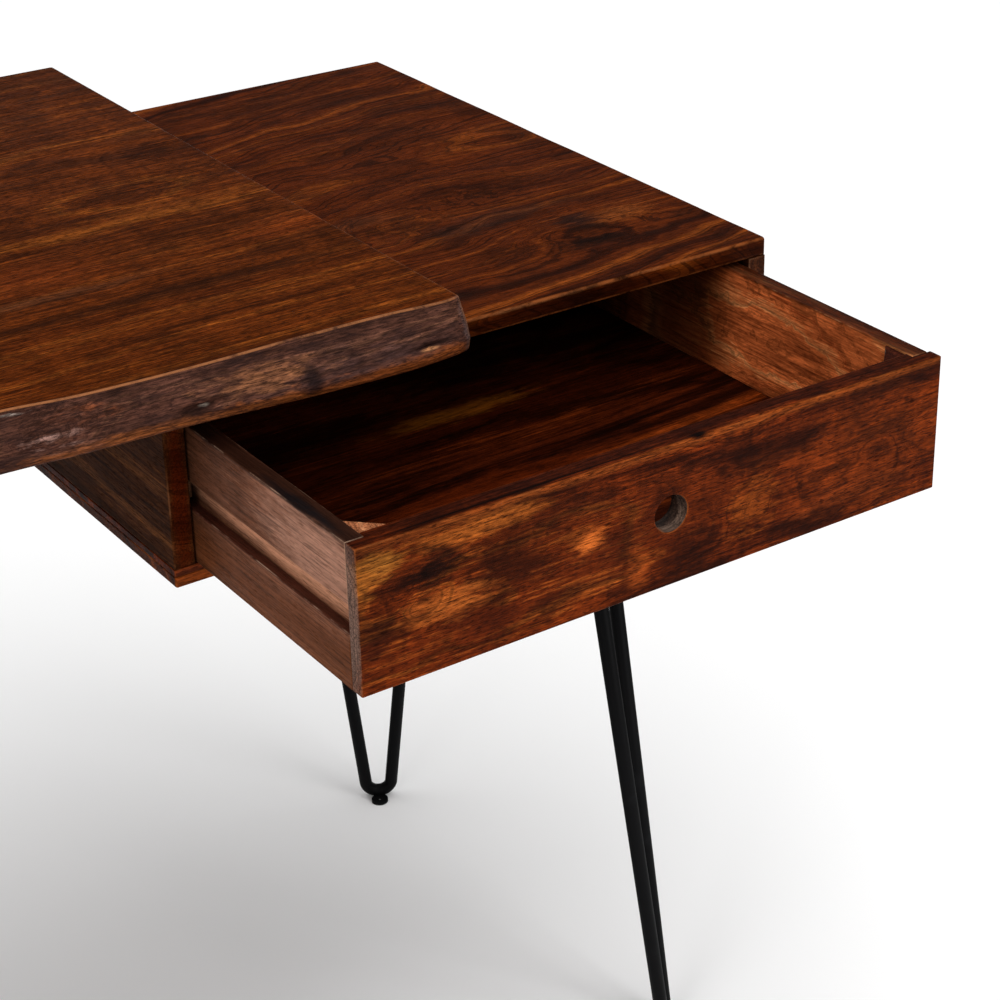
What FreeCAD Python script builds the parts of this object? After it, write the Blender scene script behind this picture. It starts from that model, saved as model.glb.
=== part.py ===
"""Corner desk: a live-edge main top over a lower return, with a hanging drawer case and hairpin legs.

Millimetres. +X runs right along the main top, +Y to the back, +Z up. The origin is on the floor, in
the middle of the desk's bounding box. The drawer is modelled standing open by DRAWER_OPEN.
"""
import FreeCAD, Part
import math
import os
from FreeCAD import Vector

# ---------------------------------------------------------------- driving dimensions
DESK_W = 1680.0            # overall, left to right
DESK_D = 1220.0            # overall, return's front end to main top's back edge
SLAB_T = 35.0              # thickness of both live-edge slabs
RETURN_W = 480.0           # return slab, straight edge to mean live edge
RETURN_TOP = 728.0         # height of the return's upper face, which carries the main top

CASE_W = 480.0             # drawer case, outside
CASE_D = 530.0
CASE_H = 128.0
CASE_BASE = 600.0          # height of the case's underside
CASE_FRONT = 35.0          # y of the case's front edges
CASE_TOP_T = 14.0
CASE_BOTTOM_T = 8.0
CASE_LINER_T = 5.0         # thin board between the bottom board and the sides
CASE_SIDE_T = 15.0
CASE_BACK_T = 10.0
SLAB_OVER_CASE = 199.0     # how far the main top reaches over the case

DRAWER_OPEN = 200.0        # how far the drawer stands open
DRAWER_TRAVEL = 360.0      # full travel, from closed to the stop
DRAWER_L = 485.0
FRONT_W = 447.2
FRONT_H = 97.1
FRONT_T = 17.0
FRONT_RABBET = 6.0         # how deep the drawer's sides are let into the front
FRONT_LIP = 2.9            # front's right end beyond the right side
DRAWER_SIDE_T = 13.0
DRAWER_BACK_T = 12.0
CORNER_BLOCK = 20.0        # legs of the triangular glue blocks in the drawer's front corners
CORNER_BLOCK_DROP = 1.0    # their tops, below the drawer's upper edge
PANEL_T = 6.0              # drawer bottom panel
PANEL_UP = 8.0             # panel's underside above the drawer's lower edge
PANEL_LET_IN = 5.0
FINGER_HOLE_D = 25.0
FINGER_HOLE_UP = 50.0      # hole's centre above the drawer's lower edge
SLIDE_GAP = 0.3            # drawer over the case's liner, and groove over the runner

GROOVE_UP = 38.0           # runner groove's lower edge above the drawer's lower edge
GROOVE_H = 19.0
GROOVE_DEPTH = 6.5
RUNNER_H = 16.0
RUNNER_SIDE_GAP = 1.0      # runner's inner face to the bottom of the groove
RUNNER_END = 20.0          # runner's back end, short of the back panel
LEFT_RUNNER_START = 12.0   # runners' front ends, behind the case's front
RIGHT_RUNNER_START = 18.0

STOP_SIZE = (60.0, 18.0, 10.0)
REAR_STOP_SIZE = (30.0, 34.7, 30.0)
REAR_STOP_INSET = 60.0

ROD_R = 6.0
ROD_BEND_R = 12.5          # centreline of the hairpin's bend
ROD_FLARE = 5.5            # each rod leans out this many degrees in the hairpin's own plane
LEG_SPLAY = 6.65           # the hairpin's plane leans out this many degrees
PLATE_T = 4.0
PLATE_W = 45.0
PLATE_END = 14.0           # plate beyond the outer rods' centres
PLATE_CORNER_R = 6.0
LUG_R = 8.0
LUG_HOLE_R = 2.5
LUG_T = 3.0
LUG_REACH = 10.7           # lug hole from the bend's centreline
LUG_NECK_W = 10.0
LUG_WELD_START = 2.0       # neck's outer end, from the bend's centreline
RETURN_LEG_INSET = 97.0    # return legs' plate centres from the slab's edges

SCREW_R = 2.0
SCREW_HEAD_R = 4.0
SCREW_HEAD_H = 2.2
RUNNER_SCREW_R = 1.5
RUNNER_SCREW_HEAD_R = 2.8
RUNNER_SCREW_HEAD_H = 1.6
RUNNER_SCREW_L = 14.0
BACK_SCREW_R = 1.6
BACK_SCREW_HEAD_R = 3.0
BACK_SCREW_HEAD_H = 1.8
BACK_SCREW_L = 24.0
LEG_SCREW_BITE = 9.0       # into the wood above a leg plate
TOP_SCREW_BITE = 22.0      # into the main top

# ---------------------------------------------------------------- worked out
X_LEFT = -DESK_W / 2
X_RIGHT = DESK_W / 2
Y_FRONT = -DESK_D / 2
Y_BACK = DESK_D / 2
RETURN_X = X_LEFT + RETURN_W
CASE_X0 = X_RIGHT - CASE_W
CASE_Y1 = CASE_FRONT + CASE_D
CASE_TOP = CASE_BASE + CASE_H
MAIN_END = CASE_X0 + SLAB_OVER_CASE
CASE_MID = CASE_X0 + CASE_W / 2
BAY_Z0 = CASE_BASE + CASE_BOTTOM_T + CASE_LINER_T
BAY_Z1 = CASE_TOP - CASE_TOP_T
BAY_X0 = CASE_X0 + CASE_SIDE_T
BAY_X1 = X_RIGHT - CASE_SIDE_T
BAY_Y1 = CASE_Y1 - CASE_BACK_T

DRAWER_X0 = CASE_MID - FRONT_W / 2
DRAWER_X1 = CASE_MID + FRONT_W / 2
SIDE_X1 = DRAWER_X1 - FRONT_LIP
DRAWER_Y0 = CASE_FRONT - DRAWER_OPEN
DRAWER_Y1 = DRAWER_Y0 + DRAWER_L
DRAWER_Z0 = BAY_Z0 + SLIDE_GAP
DRAWER_Z1 = DRAWER_Z0 + FRONT_H
SIDE_Y0 = DRAWER_Y0 + FRONT_T - FRONT_RABBET
PANEL_Z0 = DRAWER_Z0 + PANEL_UP
PANEL_Z1 = PANEL_Z0 + PANEL_T
GROOVE_Z0 = DRAWER_Z0 + GROOVE_UP
GROOVE_Z1 = GROOVE_Z0 + GROOVE_H
RUNNER_Z1 = GROOVE_Z1 - SLIDE_GAP
LEFT_RUNNER_X = DRAWER_X0 + GROOVE_DEPTH - RUNNER_SIDE_GAP
RIGHT_RUNNER_X = SIDE_X1 - GROOVE_DEPTH + RUNNER_SIDE_GAP

# Live edges, as (distance along the slab, how far the edge stands outside its base line).
# The three levels are the underside, the bulge and the upper face.
MAIN_LEVELS = (0.0, 9.0, SLAB_T)
MAIN_EDGE = (
    ((-840, 6), (-700, 12), (-560, 4), (-420, -4), (-290, 6), (-150, 13), (-20, 5), (110, -6),
     (244, -3), (300, 1), (368, 4), (433, 10), (503, 14), (545, 11), (559, 7)),
    ((-840, 9), (-700, 15), (-560, 8), (-420, 0), (-290, 9), (-150, 16), (-20, 8), (110, -2),
     (244, 0), (300, 4), (368, 7), (433, 13), (503, 16), (545, 13), (559, 9)),
    ((-840, -8), (-700, -3), (-560, -10), (-420, -18), (-290, -9), (-150, -3), (-20, -8),
     (110, -17), (244, -15), (300, -7), (368, -4), (433, -5), (503, -4), (545, 0), (559, -3)),
)
RETURN_EDGE = (
    ((-610, 2), (-500, 10), (-390, 16), (-270, 6), (-150, -6), (-20, 0), (140, 9), (300, 3),
     (460, -5), (610, 2)),
    ((-610, 5), (-500, 14), (-390, 19), (-270, 10), (-150, -2), (-20, 3), (140, 12), (300, 7),
     (460, -1), (610, 5)),
    ((-610, -11), (-500, -4), (-390, 1), (-270, -8), (-150, -18), (-20, -13), (140, -4),
     (300, -10), (460, -17), (610, -10)),
)


# ---------------------------------------------------------------- helpers
def box(x0, x1, y0, y1, z0, z1):
    """A plain block between two corners."""
    return Part.makeBox(x1 - x0, y1 - y0, z1 - z0, Vector(x0, y0, z0))


def cut(shape, tools):
    """The shape with each tool taken away."""
    for tool in tools:
        shape = shape.cut(tool)
    return shape


def slab(levels, heights, depth):
    """A slab along X whose -Y side is a wavy live edge, through one curve per level."""
    wires = []
    for points, height in zip(levels, heights):
        curve = Part.BSplineCurve()
        curve.interpolate([Vector(along, -out, height) for along, out in points])
        start, end = curve.StartPoint, curve.EndPoint
        back_end = Vector(end.x, depth, height)
        back_start = Vector(start.x, depth, height)
        wires.append(Part.Wire([
            curve.toShape(),
            Part.makeLine(end, back_end),
            Part.makeLine(back_end, back_start),
            Part.makeLine(back_start, start),
        ]))
    return Part.makeLoft(wires, True, True)


def screw(x, y, z, bite):
    """A round-head screw whose head seats at height z and whose point is up inside the wood."""
    head = Part.makeCylinder(SCREW_HEAD_R, SCREW_HEAD_H, Vector(x, y, z - SCREW_HEAD_H))
    shank = Part.makeCylinder(SCREW_R, bite, Vector(x, y, z))
    return head.fuse(shank).removeSplitter()


# ---------------------------------------------------------------- legs
class Leg:
    """One hairpin leg: where its plate is, which way it splays, and how tall it is."""

    def __init__(self, name, x, y, toward, height):
        self.name = name
        length = math.hypot(toward[0], toward[1])
        self.out = Vector(toward[0] / length, toward[1] / length, 0)
        self.across = Vector(-self.out.y, self.out.x, 0)
        self.plate_centre = Vector(x, y, height - PLATE_T)
        lean = math.radians(LEG_SPLAY)
        self.down = self.out * math.sin(lean) + Vector(0, 0, -math.cos(lean))
        drop = (height - PLATE_T - ROD_R) / math.cos(lean)
        self.bend_bottom = self.plate_centre + self.down * drop
        self.bend_centre = self.bend_bottom - self.down * ROD_BEND_R
        self.half_spread = (ROD_BEND_R + drop * math.sin(math.radians(ROD_FLARE)))

    def in_plane(self, across, down):
        """A point of the hairpin's own plane, measured from the bend's centre."""
        return self.bend_centre + self.across * across + self.down * down

    def rod(self):
        """The bent rod: two straight runs and the bend between them, cut flush at the plate."""
        flare = math.radians(ROD_FLARE)
        run = (self.bend_centre - self.plate_centre).Length + 30
        tangent = [ROD_BEND_R * math.cos(flare), ROD_BEND_R * math.sin(flare)]
        top = [tangent[0] + run * math.sin(flare), tangent[1] - run * math.cos(flare)]
        rod = None
        for side in (1, -1):
            foot = self.in_plane(side * tangent[0], tangent[1])
            head = self.in_plane(side * top[0], top[1])
            straight = Part.makeCylinder(ROD_R, run, foot, head - foot)
            rod = straight if rod is None else rod.fuse(straight)
        start = self.in_plane(tangent[0], tangent[1])
        along = self.in_plane(top[0], top[1]) - start
        section = Part.Face(Part.Wire(Part.Circle(start, along, ROD_R).toShape()))
        normal = self.across.cross(self.down)
        bend = section.revolve(self.bend_centre, normal, 180 - 2 * ROD_FLARE)
        z = self.plate_centre.z
        above = Part.makeBox(600, 600, 100, Vector(self.plate_centre.x - 300,
                                                   self.plate_centre.y - 300, z))
        return rod.fuse(bend).removeSplitter().cut(above)

    def turned(self, shape):
        """Turn a shape modelled along X at the origin so that X runs across the leg."""
        angle = math.degrees(math.atan2(self.across.y, self.across.x))
        shape.rotate(Vector(0, 0, 0), Vector(0, 0, 1), angle)
        return shape

    def screw_points(self):
        """The four screw centres in the plate, under the board."""
        reach = self.half_spread - 24
        side = PLATE_W / 2 - 8
        points = []
        for along in (-reach, reach):
            for over in (-side, side):
                points.append(self.plate_centre + self.across * along + self.out * over)
        return points

    def screws(self):
        """Four screws up through the plate."""
        return [screw(p.x, p.y, p.z, PLATE_T + LEG_SCREW_BITE) for p in self.screw_points()]

    def plate(self):
        """The top plate, with round corners and its screw holes."""
        half = self.half_spread + PLATE_END
        plate = Part.makeBox(2 * half, PLATE_W, PLATE_T, Vector(-half, -PLATE_W / 2, 0))
        upright = [e for e in plate.Edges if abs(e.tangentAt(e.FirstParameter).z) > 0.9]
        plate = self.turned(plate.makeFillet(PLATE_CORNER_R, upright))
        plate.translate(self.plate_centre)
        return cut(plate, self.screws())

    def lug(self):
        """The flat eyelet welded to the inside of the bend, lying on the floor."""
        disc = Part.makeCylinder(LUG_R, LUG_T, Vector(0, -LUG_REACH, 0))
        neck = Part.makeBox(LUG_NECK_W, LUG_REACH - LUG_WELD_START, LUG_T,
                            Vector(-LUG_NECK_W / 2, -LUG_REACH, 0))
        hole = Part.makeCylinder(LUG_HOLE_R, LUG_T, Vector(0, -LUG_REACH, 0))
        lug = disc.fuse(neck).removeSplitter().cut(hole)
        angle = math.degrees(math.atan2(self.out.y, self.out.x)) - 90
        lug.rotate(Vector(0, 0, 0), Vector(0, 0, 1), angle)
        lug.translate(Vector(self.bend_bottom.x, self.bend_bottom.y, 0))
        return lug.cut(self.rod())

    def lug_hole(self):
        """The lug hole's centre on the floor."""
        p = self.bend_bottom - self.out * LUG_REACH
        return (round(p.x, 3), round(p.y, 3))


RETURN_IN_X = X_LEFT + RETURN_LEG_INSET
RETURN_OUT_X = RETURN_X - RETURN_LEG_INSET
RETURN_UNDER = RETURN_TOP - SLAB_T
LEGS = [
    Leg("case_front", CASE_X0 + 384, CASE_FRONT + 95, (17, -14), CASE_BASE),
    Leg("case_back", CASE_X0 + 391, CASE_FRONT + 432, (32, 62), CASE_BASE),
    Leg("return_front_left", RETURN_IN_X, Y_FRONT + RETURN_LEG_INSET, (-1, -1), RETURN_UNDER),
    Leg("return_front_right", RETURN_OUT_X, Y_FRONT + RETURN_LEG_INSET, (1, -1), RETURN_UNDER),
    Leg("return_back_left", RETURN_IN_X, Y_BACK - RETURN_LEG_INSET, (-1, 1), RETURN_UNDER),
    Leg("return_back_right", RETURN_OUT_X, Y_BACK - RETURN_LEG_INSET, (1, 1), RETURN_UNDER),
]


# ---------------------------------------------------------------- fixings between boards
def case_hanging_screws():
    """Screws up through the case's top board into the main top."""
    return [screw(x, y, BAY_Z1, CASE_TOP_T + TOP_SCREW_BITE)
            for x in (CASE_X0 + 45, MAIN_END - 45)
            for y in (CASE_FRONT + 150, CASE_Y1 - 90)]


def return_joining_screws():
    """Screws up through the return into the main top."""
    return [screw(x, y, RETURN_UNDER, SLAB_T + TOP_SCREW_BITE)
            for x in (X_LEFT + 150, X_LEFT + 330)
            for y in (80, 250, 420)]


def runner_screws(inner_x, outward):
    """Three screws through a runner into the case's side, their heads sunk flush in the runner."""
    screws = []
    for y in (CASE_FRONT + 60, CASE_FRONT + 250, CASE_FRONT + 440):
        start = Vector(inner_x, y, RUNNER_Z1 - RUNNER_H / 2)
        head = Part.makeCylinder(RUNNER_SCREW_HEAD_R, RUNNER_SCREW_HEAD_H, start, Vector(outward, 0, 0))
        shank = Part.makeCylinder(RUNNER_SCREW_R, RUNNER_SCREW_L, start, Vector(outward, 0, 0))
        screws.append(head.fuse(shank).removeSplitter())
    return screws


def back_panel_screws():
    """Six screws from behind: four into the case's sides and two into its top board."""
    spots = [(x, z) for x in (CASE_X0 + 7.5, X_RIGHT - 7.5) for z in (CASE_BASE + 30, CASE_TOP - 35)]
    spots += [(CASE_X0 + 160, CASE_TOP - 7), (CASE_X0 + 320, CASE_TOP - 7)]
    screws = []
    for x, z in spots:
        start = Vector(x, CASE_Y1, z)
        head = Part.makeCylinder(BACK_SCREW_HEAD_R, BACK_SCREW_HEAD_H, start, Vector(0, 1, 0))
        shank = Part.makeCylinder(BACK_SCREW_R, BACK_SCREW_L, start, Vector(0, -1, 0))
        screws.append(head.fuse(shank).removeSplitter())
    return screws


def leg_screws(prefix):
    """The screws of every leg whose name begins with the prefix."""
    return [s for leg in LEGS if leg.name.startswith(prefix) for s in leg.screws()]


# ---------------------------------------------------------------- tops
def main_top():
    """The upper slab, live edge to the front, resting on the return and on the case."""
    heights = [RETURN_TOP + level for level in MAIN_LEVELS]
    body = slab(MAIN_EDGE, heights, Y_BACK)
    return cut(body, case_hanging_screws() + return_joining_screws())


def return_top():
    """The lower slab on the left, live edge towards the seat."""
    heights = [RETURN_UNDER + level for level in MAIN_LEVELS]
    body = slab(RETURN_EDGE, heights, RETURN_W)
    body.rotate(Vector(0, 0, 0), Vector(0, 0, 1), 90)
    body.translate(Vector(RETURN_X, 0, 0))
    return cut(body, return_joining_screws() + leg_screws("return"))


# ---------------------------------------------------------------- case
def case_top():
    """The case's top board, full width and depth."""
    board = box(CASE_X0, X_RIGHT, CASE_FRONT, CASE_Y1, BAY_Z1, CASE_TOP)
    return cut(board, case_hanging_screws() + back_panel_screws())


def case_side(x0):
    """One upright side of the case, between its top board and its liner."""
    side = box(x0, x0 + CASE_SIDE_T, CASE_FRONT, CASE_Y1, BAY_Z0, BAY_Z1)
    return cut(side, runner_screws(LEFT_RUNNER_X, -1) + runner_screws(RIGHT_RUNNER_X, 1)
               + back_panel_screws())


def case_bottom():
    """The case's thin bottom board, which the leg plates are screwed to."""
    board = box(CASE_X0, X_RIGHT, CASE_FRONT, CASE_Y1, CASE_BASE, CASE_BASE + CASE_BOTTOM_T)
    return cut(board, leg_screws("case"))


def case_liner():
    """The liner board on the bottom board, which the case's sides and back stand on."""
    board = box(CASE_X0, X_RIGHT, CASE_FRONT, CASE_Y1, CASE_BASE + CASE_BOTTOM_T, BAY_Z0)
    return cut(board, leg_screws("case"))


def case_back():
    """The back panel, between the sides."""
    return box(BAY_X0, BAY_X1, BAY_Y1, CASE_Y1, BAY_Z0, BAY_Z1)


def runner(x0, x1, start, screws):
    """One wooden runner on a case side, which the drawer's groove hangs on."""
    bar = box(x0, x1, CASE_FRONT + start, BAY_Y1 - RUNNER_END, RUNNER_Z1 - RUNNER_H, RUNNER_Z1)
    return cut(bar, screws)


def left_runner():
    """The left runner, which clears the front where the left side is let in."""
    return runner(BAY_X0, LEFT_RUNNER_X, LEFT_RUNNER_START, runner_screws(LEFT_RUNNER_X, -1))


def right_runner():
    """The right runner, which starts further in, clear of the front's lip."""
    return runner(RIGHT_RUNNER_X, BAY_X1, RIGHT_RUNNER_START, runner_screws(RIGHT_RUNNER_X, 1))


def opening_stop():
    """The block under the case's top that the drawer's back meets at full travel."""
    length, depth, height = STOP_SIZE
    back_face = CASE_FRONT + DRAWER_L - DRAWER_BACK_T - DRAWER_TRAVEL - SLIDE_GAP
    return box(CASE_MID - length / 2, CASE_MID + length / 2, back_face - depth, back_face,
               BAY_Z1 - height, BAY_Z1)


def rear_stop(x_centre):
    """A block on the back panel that the closed drawer meets."""
    length, depth, height = REAR_STOP_SIZE
    return box(x_centre - length / 2, x_centre + length / 2, BAY_Y1 - depth, BAY_Y1,
               BAY_Z0, BAY_Z0 + height)


# ---------------------------------------------------------------- drawer
def drawer_front():
    """The drawer's front, rabbeted for the sides, grooved for the panel, with the finger hole."""
    board = box(DRAWER_X0, DRAWER_X1, DRAWER_Y0, DRAWER_Y0 + FRONT_T, DRAWER_Z0, DRAWER_Z1)
    back = DRAWER_Y0 + FRONT_T
    hole = Part.makeCylinder(FINGER_HOLE_D / 2, FRONT_T,
                             Vector(CASE_MID, DRAWER_Y0, DRAWER_Z0 + FINGER_HOLE_UP), Vector(0, 1, 0))
    tools = [
        hole,
        box(DRAWER_X0, DRAWER_X0 + DRAWER_SIDE_T, SIDE_Y0, back, DRAWER_Z0, DRAWER_Z1),
        box(SIDE_X1 - DRAWER_SIDE_T, SIDE_X1, SIDE_Y0, back, DRAWER_Z0, DRAWER_Z1),
        box(DRAWER_X0 + DRAWER_SIDE_T, SIDE_X1 - DRAWER_SIDE_T, back - PANEL_LET_IN, back,
            PANEL_Z0, PANEL_Z1),
    ]
    return cut(board, tools)


def drawer_side(x0, outer, inward):
    """One drawer side, with the runner groove outside and the panel groove inside."""
    board = box(x0, x0 + DRAWER_SIDE_T, SIDE_Y0, DRAWER_Y1, DRAWER_Z0, DRAWER_Z1)
    groove_x = sorted((outer, outer + inward * GROOVE_DEPTH))
    inner = outer + inward * DRAWER_SIDE_T
    let_in_x = sorted((inner, inner - inward * PANEL_LET_IN))
    groove = box(groove_x[0], groove_x[1], SIDE_Y0, DRAWER_Y1, GROOVE_Z0, GROOVE_Z1)
    let_in = box(let_in_x[0], let_in_x[1], DRAWER_Y0 + FRONT_T - PANEL_LET_IN, DRAWER_Y1,
                 PANEL_Z0, PANEL_Z1)
    return cut(board, [groove, let_in])


def drawer_back():
    """The drawer's back, between the sides, standing on the bottom panel."""
    return box(DRAWER_X0 + DRAWER_SIDE_T, SIDE_X1 - DRAWER_SIDE_T,
               DRAWER_Y1 - DRAWER_BACK_T, DRAWER_Y1, PANEL_Z1, DRAWER_Z1)


def corner_block(x, inward):
    """A triangular glue block in one of the drawer's front corners."""
    y = DRAWER_Y0 + FRONT_T
    outline = Part.makePolygon([
        Vector(x, y, PANEL_Z1),
        Vector(x + inward * CORNER_BLOCK, y, PANEL_Z1),
        Vector(x, y + CORNER_BLOCK, PANEL_Z1),
        Vector(x, y, PANEL_Z1),
    ])
    height = DRAWER_Z1 - CORNER_BLOCK_DROP - PANEL_Z1
    return Part.Face(outline).extrude(Vector(0, 0, height))


def drawer_bottom():
    """The bottom panel, slid in from behind under the drawer's back."""
    let_in = DRAWER_SIDE_T - PANEL_LET_IN
    return box(DRAWER_X0 + let_in, SIDE_X1 - let_in,
               DRAWER_Y0 + FRONT_T - PANEL_LET_IN, DRAWER_Y1, PANEL_Z0, PANEL_Z1)


# ---------------------------------------------------------------- write every sub-part
def all_parts():
    """Every node's name and its solid, or list of solids."""
    parts = {
        "main_top": main_top(),
        "return_top": return_top(),
        "case_top": case_top(),
        "case_bottom": case_bottom(),
        "case_liner": case_liner(),
        "case_left_side": case_side(CASE_X0),
        "case_right_side": case_side(BAY_X1),
        "case_back": case_back(),
        "left_runner": left_runner(),
        "right_runner": right_runner(),
        "left_runner_screws": runner_screws(LEFT_RUNNER_X, -1),
        "right_runner_screws": runner_screws(RIGHT_RUNNER_X, 1),
        "back_panel_screws": back_panel_screws(),
        "opening_stop": opening_stop(),
        "left_rear_stop": rear_stop(BAY_X0 + REAR_STOP_INSET),
        "right_rear_stop": rear_stop(BAY_X1 - REAR_STOP_INSET),
        "case_hanging_screws": case_hanging_screws(),
        "return_joining_screws": return_joining_screws(),
        "drawer_front": drawer_front(),
        "drawer_left_side": drawer_side(DRAWER_X0, DRAWER_X0, 1),
        "drawer_right_side": drawer_side(SIDE_X1 - DRAWER_SIDE_T, SIDE_X1, -1),
        "drawer_back": drawer_back(),
        "drawer_left_corner_block": corner_block(DRAWER_X0 + DRAWER_SIDE_T, 1),
        "drawer_right_corner_block": corner_block(SIDE_X1 - DRAWER_SIDE_T, -1),
        "drawer_bottom": drawer_bottom(),
    }
    for leg in LEGS:
        parts[leg.name + "_leg_rod"] = leg.rod()
        parts[leg.name + "_leg_plate"] = leg.plate()
        parts[leg.name + "_leg_lug"] = leg.lug()
        parts[leg.name + "_leg_screws"] = leg.screws()
    return parts


def main():
    """Write one STEP file per sub-part and print each one's solids, validity and volume."""
    os.makedirs("parts", exist_ok=True)
    for name, shape in all_parts().items():
        if isinstance(shape, list):
            shape = Part.makeCompound(shape)
        shape.exportStep("parts/" + name + ".step")
        b = shape.BoundBox
        print("%-28s solids %d valid %s vol %9.0f  x %.1f %.1f y %.1f %.1f z %.1f %.1f" % (
            name, len(shape.Solids), shape.isValid(), shape.Volume,
            b.XMin, b.XMax, b.YMin, b.YMax, b.ZMin, b.ZMax))
    for leg in LEGS:
        print(leg.name, "lug hole at", leg.lug_hole())


main()
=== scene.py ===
"""A corner desk in dark figured hardwood.

A thick slab with a live edge rests on a shallow case with one drawer, and on a
lower return at the left. Everything stands on black hairpin legs. Each
sub-assembly is a class that builds its own boards and dresses them; every
length is in metres and every piece lies in the desk's own frame.
"""

import logging
import math
from dataclasses import dataclass, field, replace
from enum import Enum
from typing import Any, Callable, Iterable, Optional, Sequence, Union

import bmesh
import bpy
from mathutils import Matrix, Vector, noise

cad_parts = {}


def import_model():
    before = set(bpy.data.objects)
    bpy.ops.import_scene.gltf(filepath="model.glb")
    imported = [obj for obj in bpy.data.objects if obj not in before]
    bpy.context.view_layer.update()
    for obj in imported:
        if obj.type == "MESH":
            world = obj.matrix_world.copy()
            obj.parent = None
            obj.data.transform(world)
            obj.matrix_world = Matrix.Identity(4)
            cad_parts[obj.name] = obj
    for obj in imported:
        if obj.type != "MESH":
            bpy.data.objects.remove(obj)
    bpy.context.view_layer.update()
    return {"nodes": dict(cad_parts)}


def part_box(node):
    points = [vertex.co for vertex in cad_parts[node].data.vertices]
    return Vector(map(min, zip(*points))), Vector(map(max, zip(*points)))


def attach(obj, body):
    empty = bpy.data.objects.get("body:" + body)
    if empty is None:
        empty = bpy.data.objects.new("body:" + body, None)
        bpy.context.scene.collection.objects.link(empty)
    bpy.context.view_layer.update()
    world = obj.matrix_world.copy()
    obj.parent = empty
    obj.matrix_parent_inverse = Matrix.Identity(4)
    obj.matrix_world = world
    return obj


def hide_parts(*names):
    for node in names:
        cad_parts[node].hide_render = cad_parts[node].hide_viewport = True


log = logging.getLogger("corner_desk")

Colour = tuple[float, float, float]
Triple = tuple[float, float, float]
Feed = Union[bpy.types.NodeSocket, float, Sequence[float]]

WORN = "worn"
HALF = (0.5, 0.5, 0.5)
WHITE = (1.0, 1.0, 1.0)

# The power that deepens every colour of the wood, as oil does.
OIL_DEPTH = 1.25

# Noise features per metre in a board, along its grain and twice across it.
FIBRES = (16.0, 460.0, 460.0)
HAIRS = (34.0, 980.0, 980.0)
PORES = (170.0, 1250.0, 1250.0)
GRIT = (130.0, 800.0, 800.0)
BARS = (210.0, 60.0, 60.0)
GLOWS = (34.0, 16.0, 16.0)
FEATHERS = (50.0, 220.0, 220.0)
SHEENS = (16.0, 70.0, 70.0)
RUBS = (34.0, 34.0, 34.0)
CURLS = (38.0, 120.0, 120.0)
KNOT_CURLS = (46.0, 60.0, 60.0)

# How far each unit of seed, the clouds and the glow are moved through the noise.
SEED_SHIFT = (3.71, 1.37, 2.29)
CLOUD_SHIFT = (5.0, 3.0, 1.0)
GLOW_SHIFT = (2.0, 9.0, 4.0)

# Fixes the noise that boards wobble by, which otherwise changes with the clock.
NOISE_SEED = 7

# Edges turning by more than this are rounded.
SHARP_ANGLE = math.radians(35)

# Depth of the wood's and the steel's relief in metres.
WOOD_DEPTH = 0.0004
STEEL_DEPTH = 0.0002


def tint(red: int, green: int, blue: int) -> Colour:
    """Turns a display colour into a linear one, deepened as oil deepens wood.

    Args:
        red: Red, from 0 to 255.
        green: Green, from 0 to 255.
        blue: Blue, from 0 to 255.

    Returns:
        The linear colour.
    """
    def linear(value: int) -> float:
        """Undoes the display curve for one channel."""
        share = value / 255.0
        return share / 12.92 if share <= 0.04045 else ((share + 0.055) / 1.055) ** 2.4

    return linear(red) ** OIL_DEPTH, linear(green) ** OIL_DEPTH, linear(blue) ** OIL_DEPTH


class Grain(Enum):
    """The way a board's grain runs, as the turn that lays it along x."""

    ALONG_X = (0.0, 0.0, 0.0)
    ALONG_Y = (0.0, 0.0, -math.pi / 2)
    ALONG_Z = (0.0, math.pi / 2, 0.0)


class Axis(Enum):
    """A direction of the desk's frame."""

    X = 0
    Y = 1
    Z = 2

    @property
    def vector(self) -> Vector:
        """The unit vector of this direction."""
        unit = Vector((0.0, 0.0, 0.0))
        unit[self.value] = 1.0
        return unit


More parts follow.
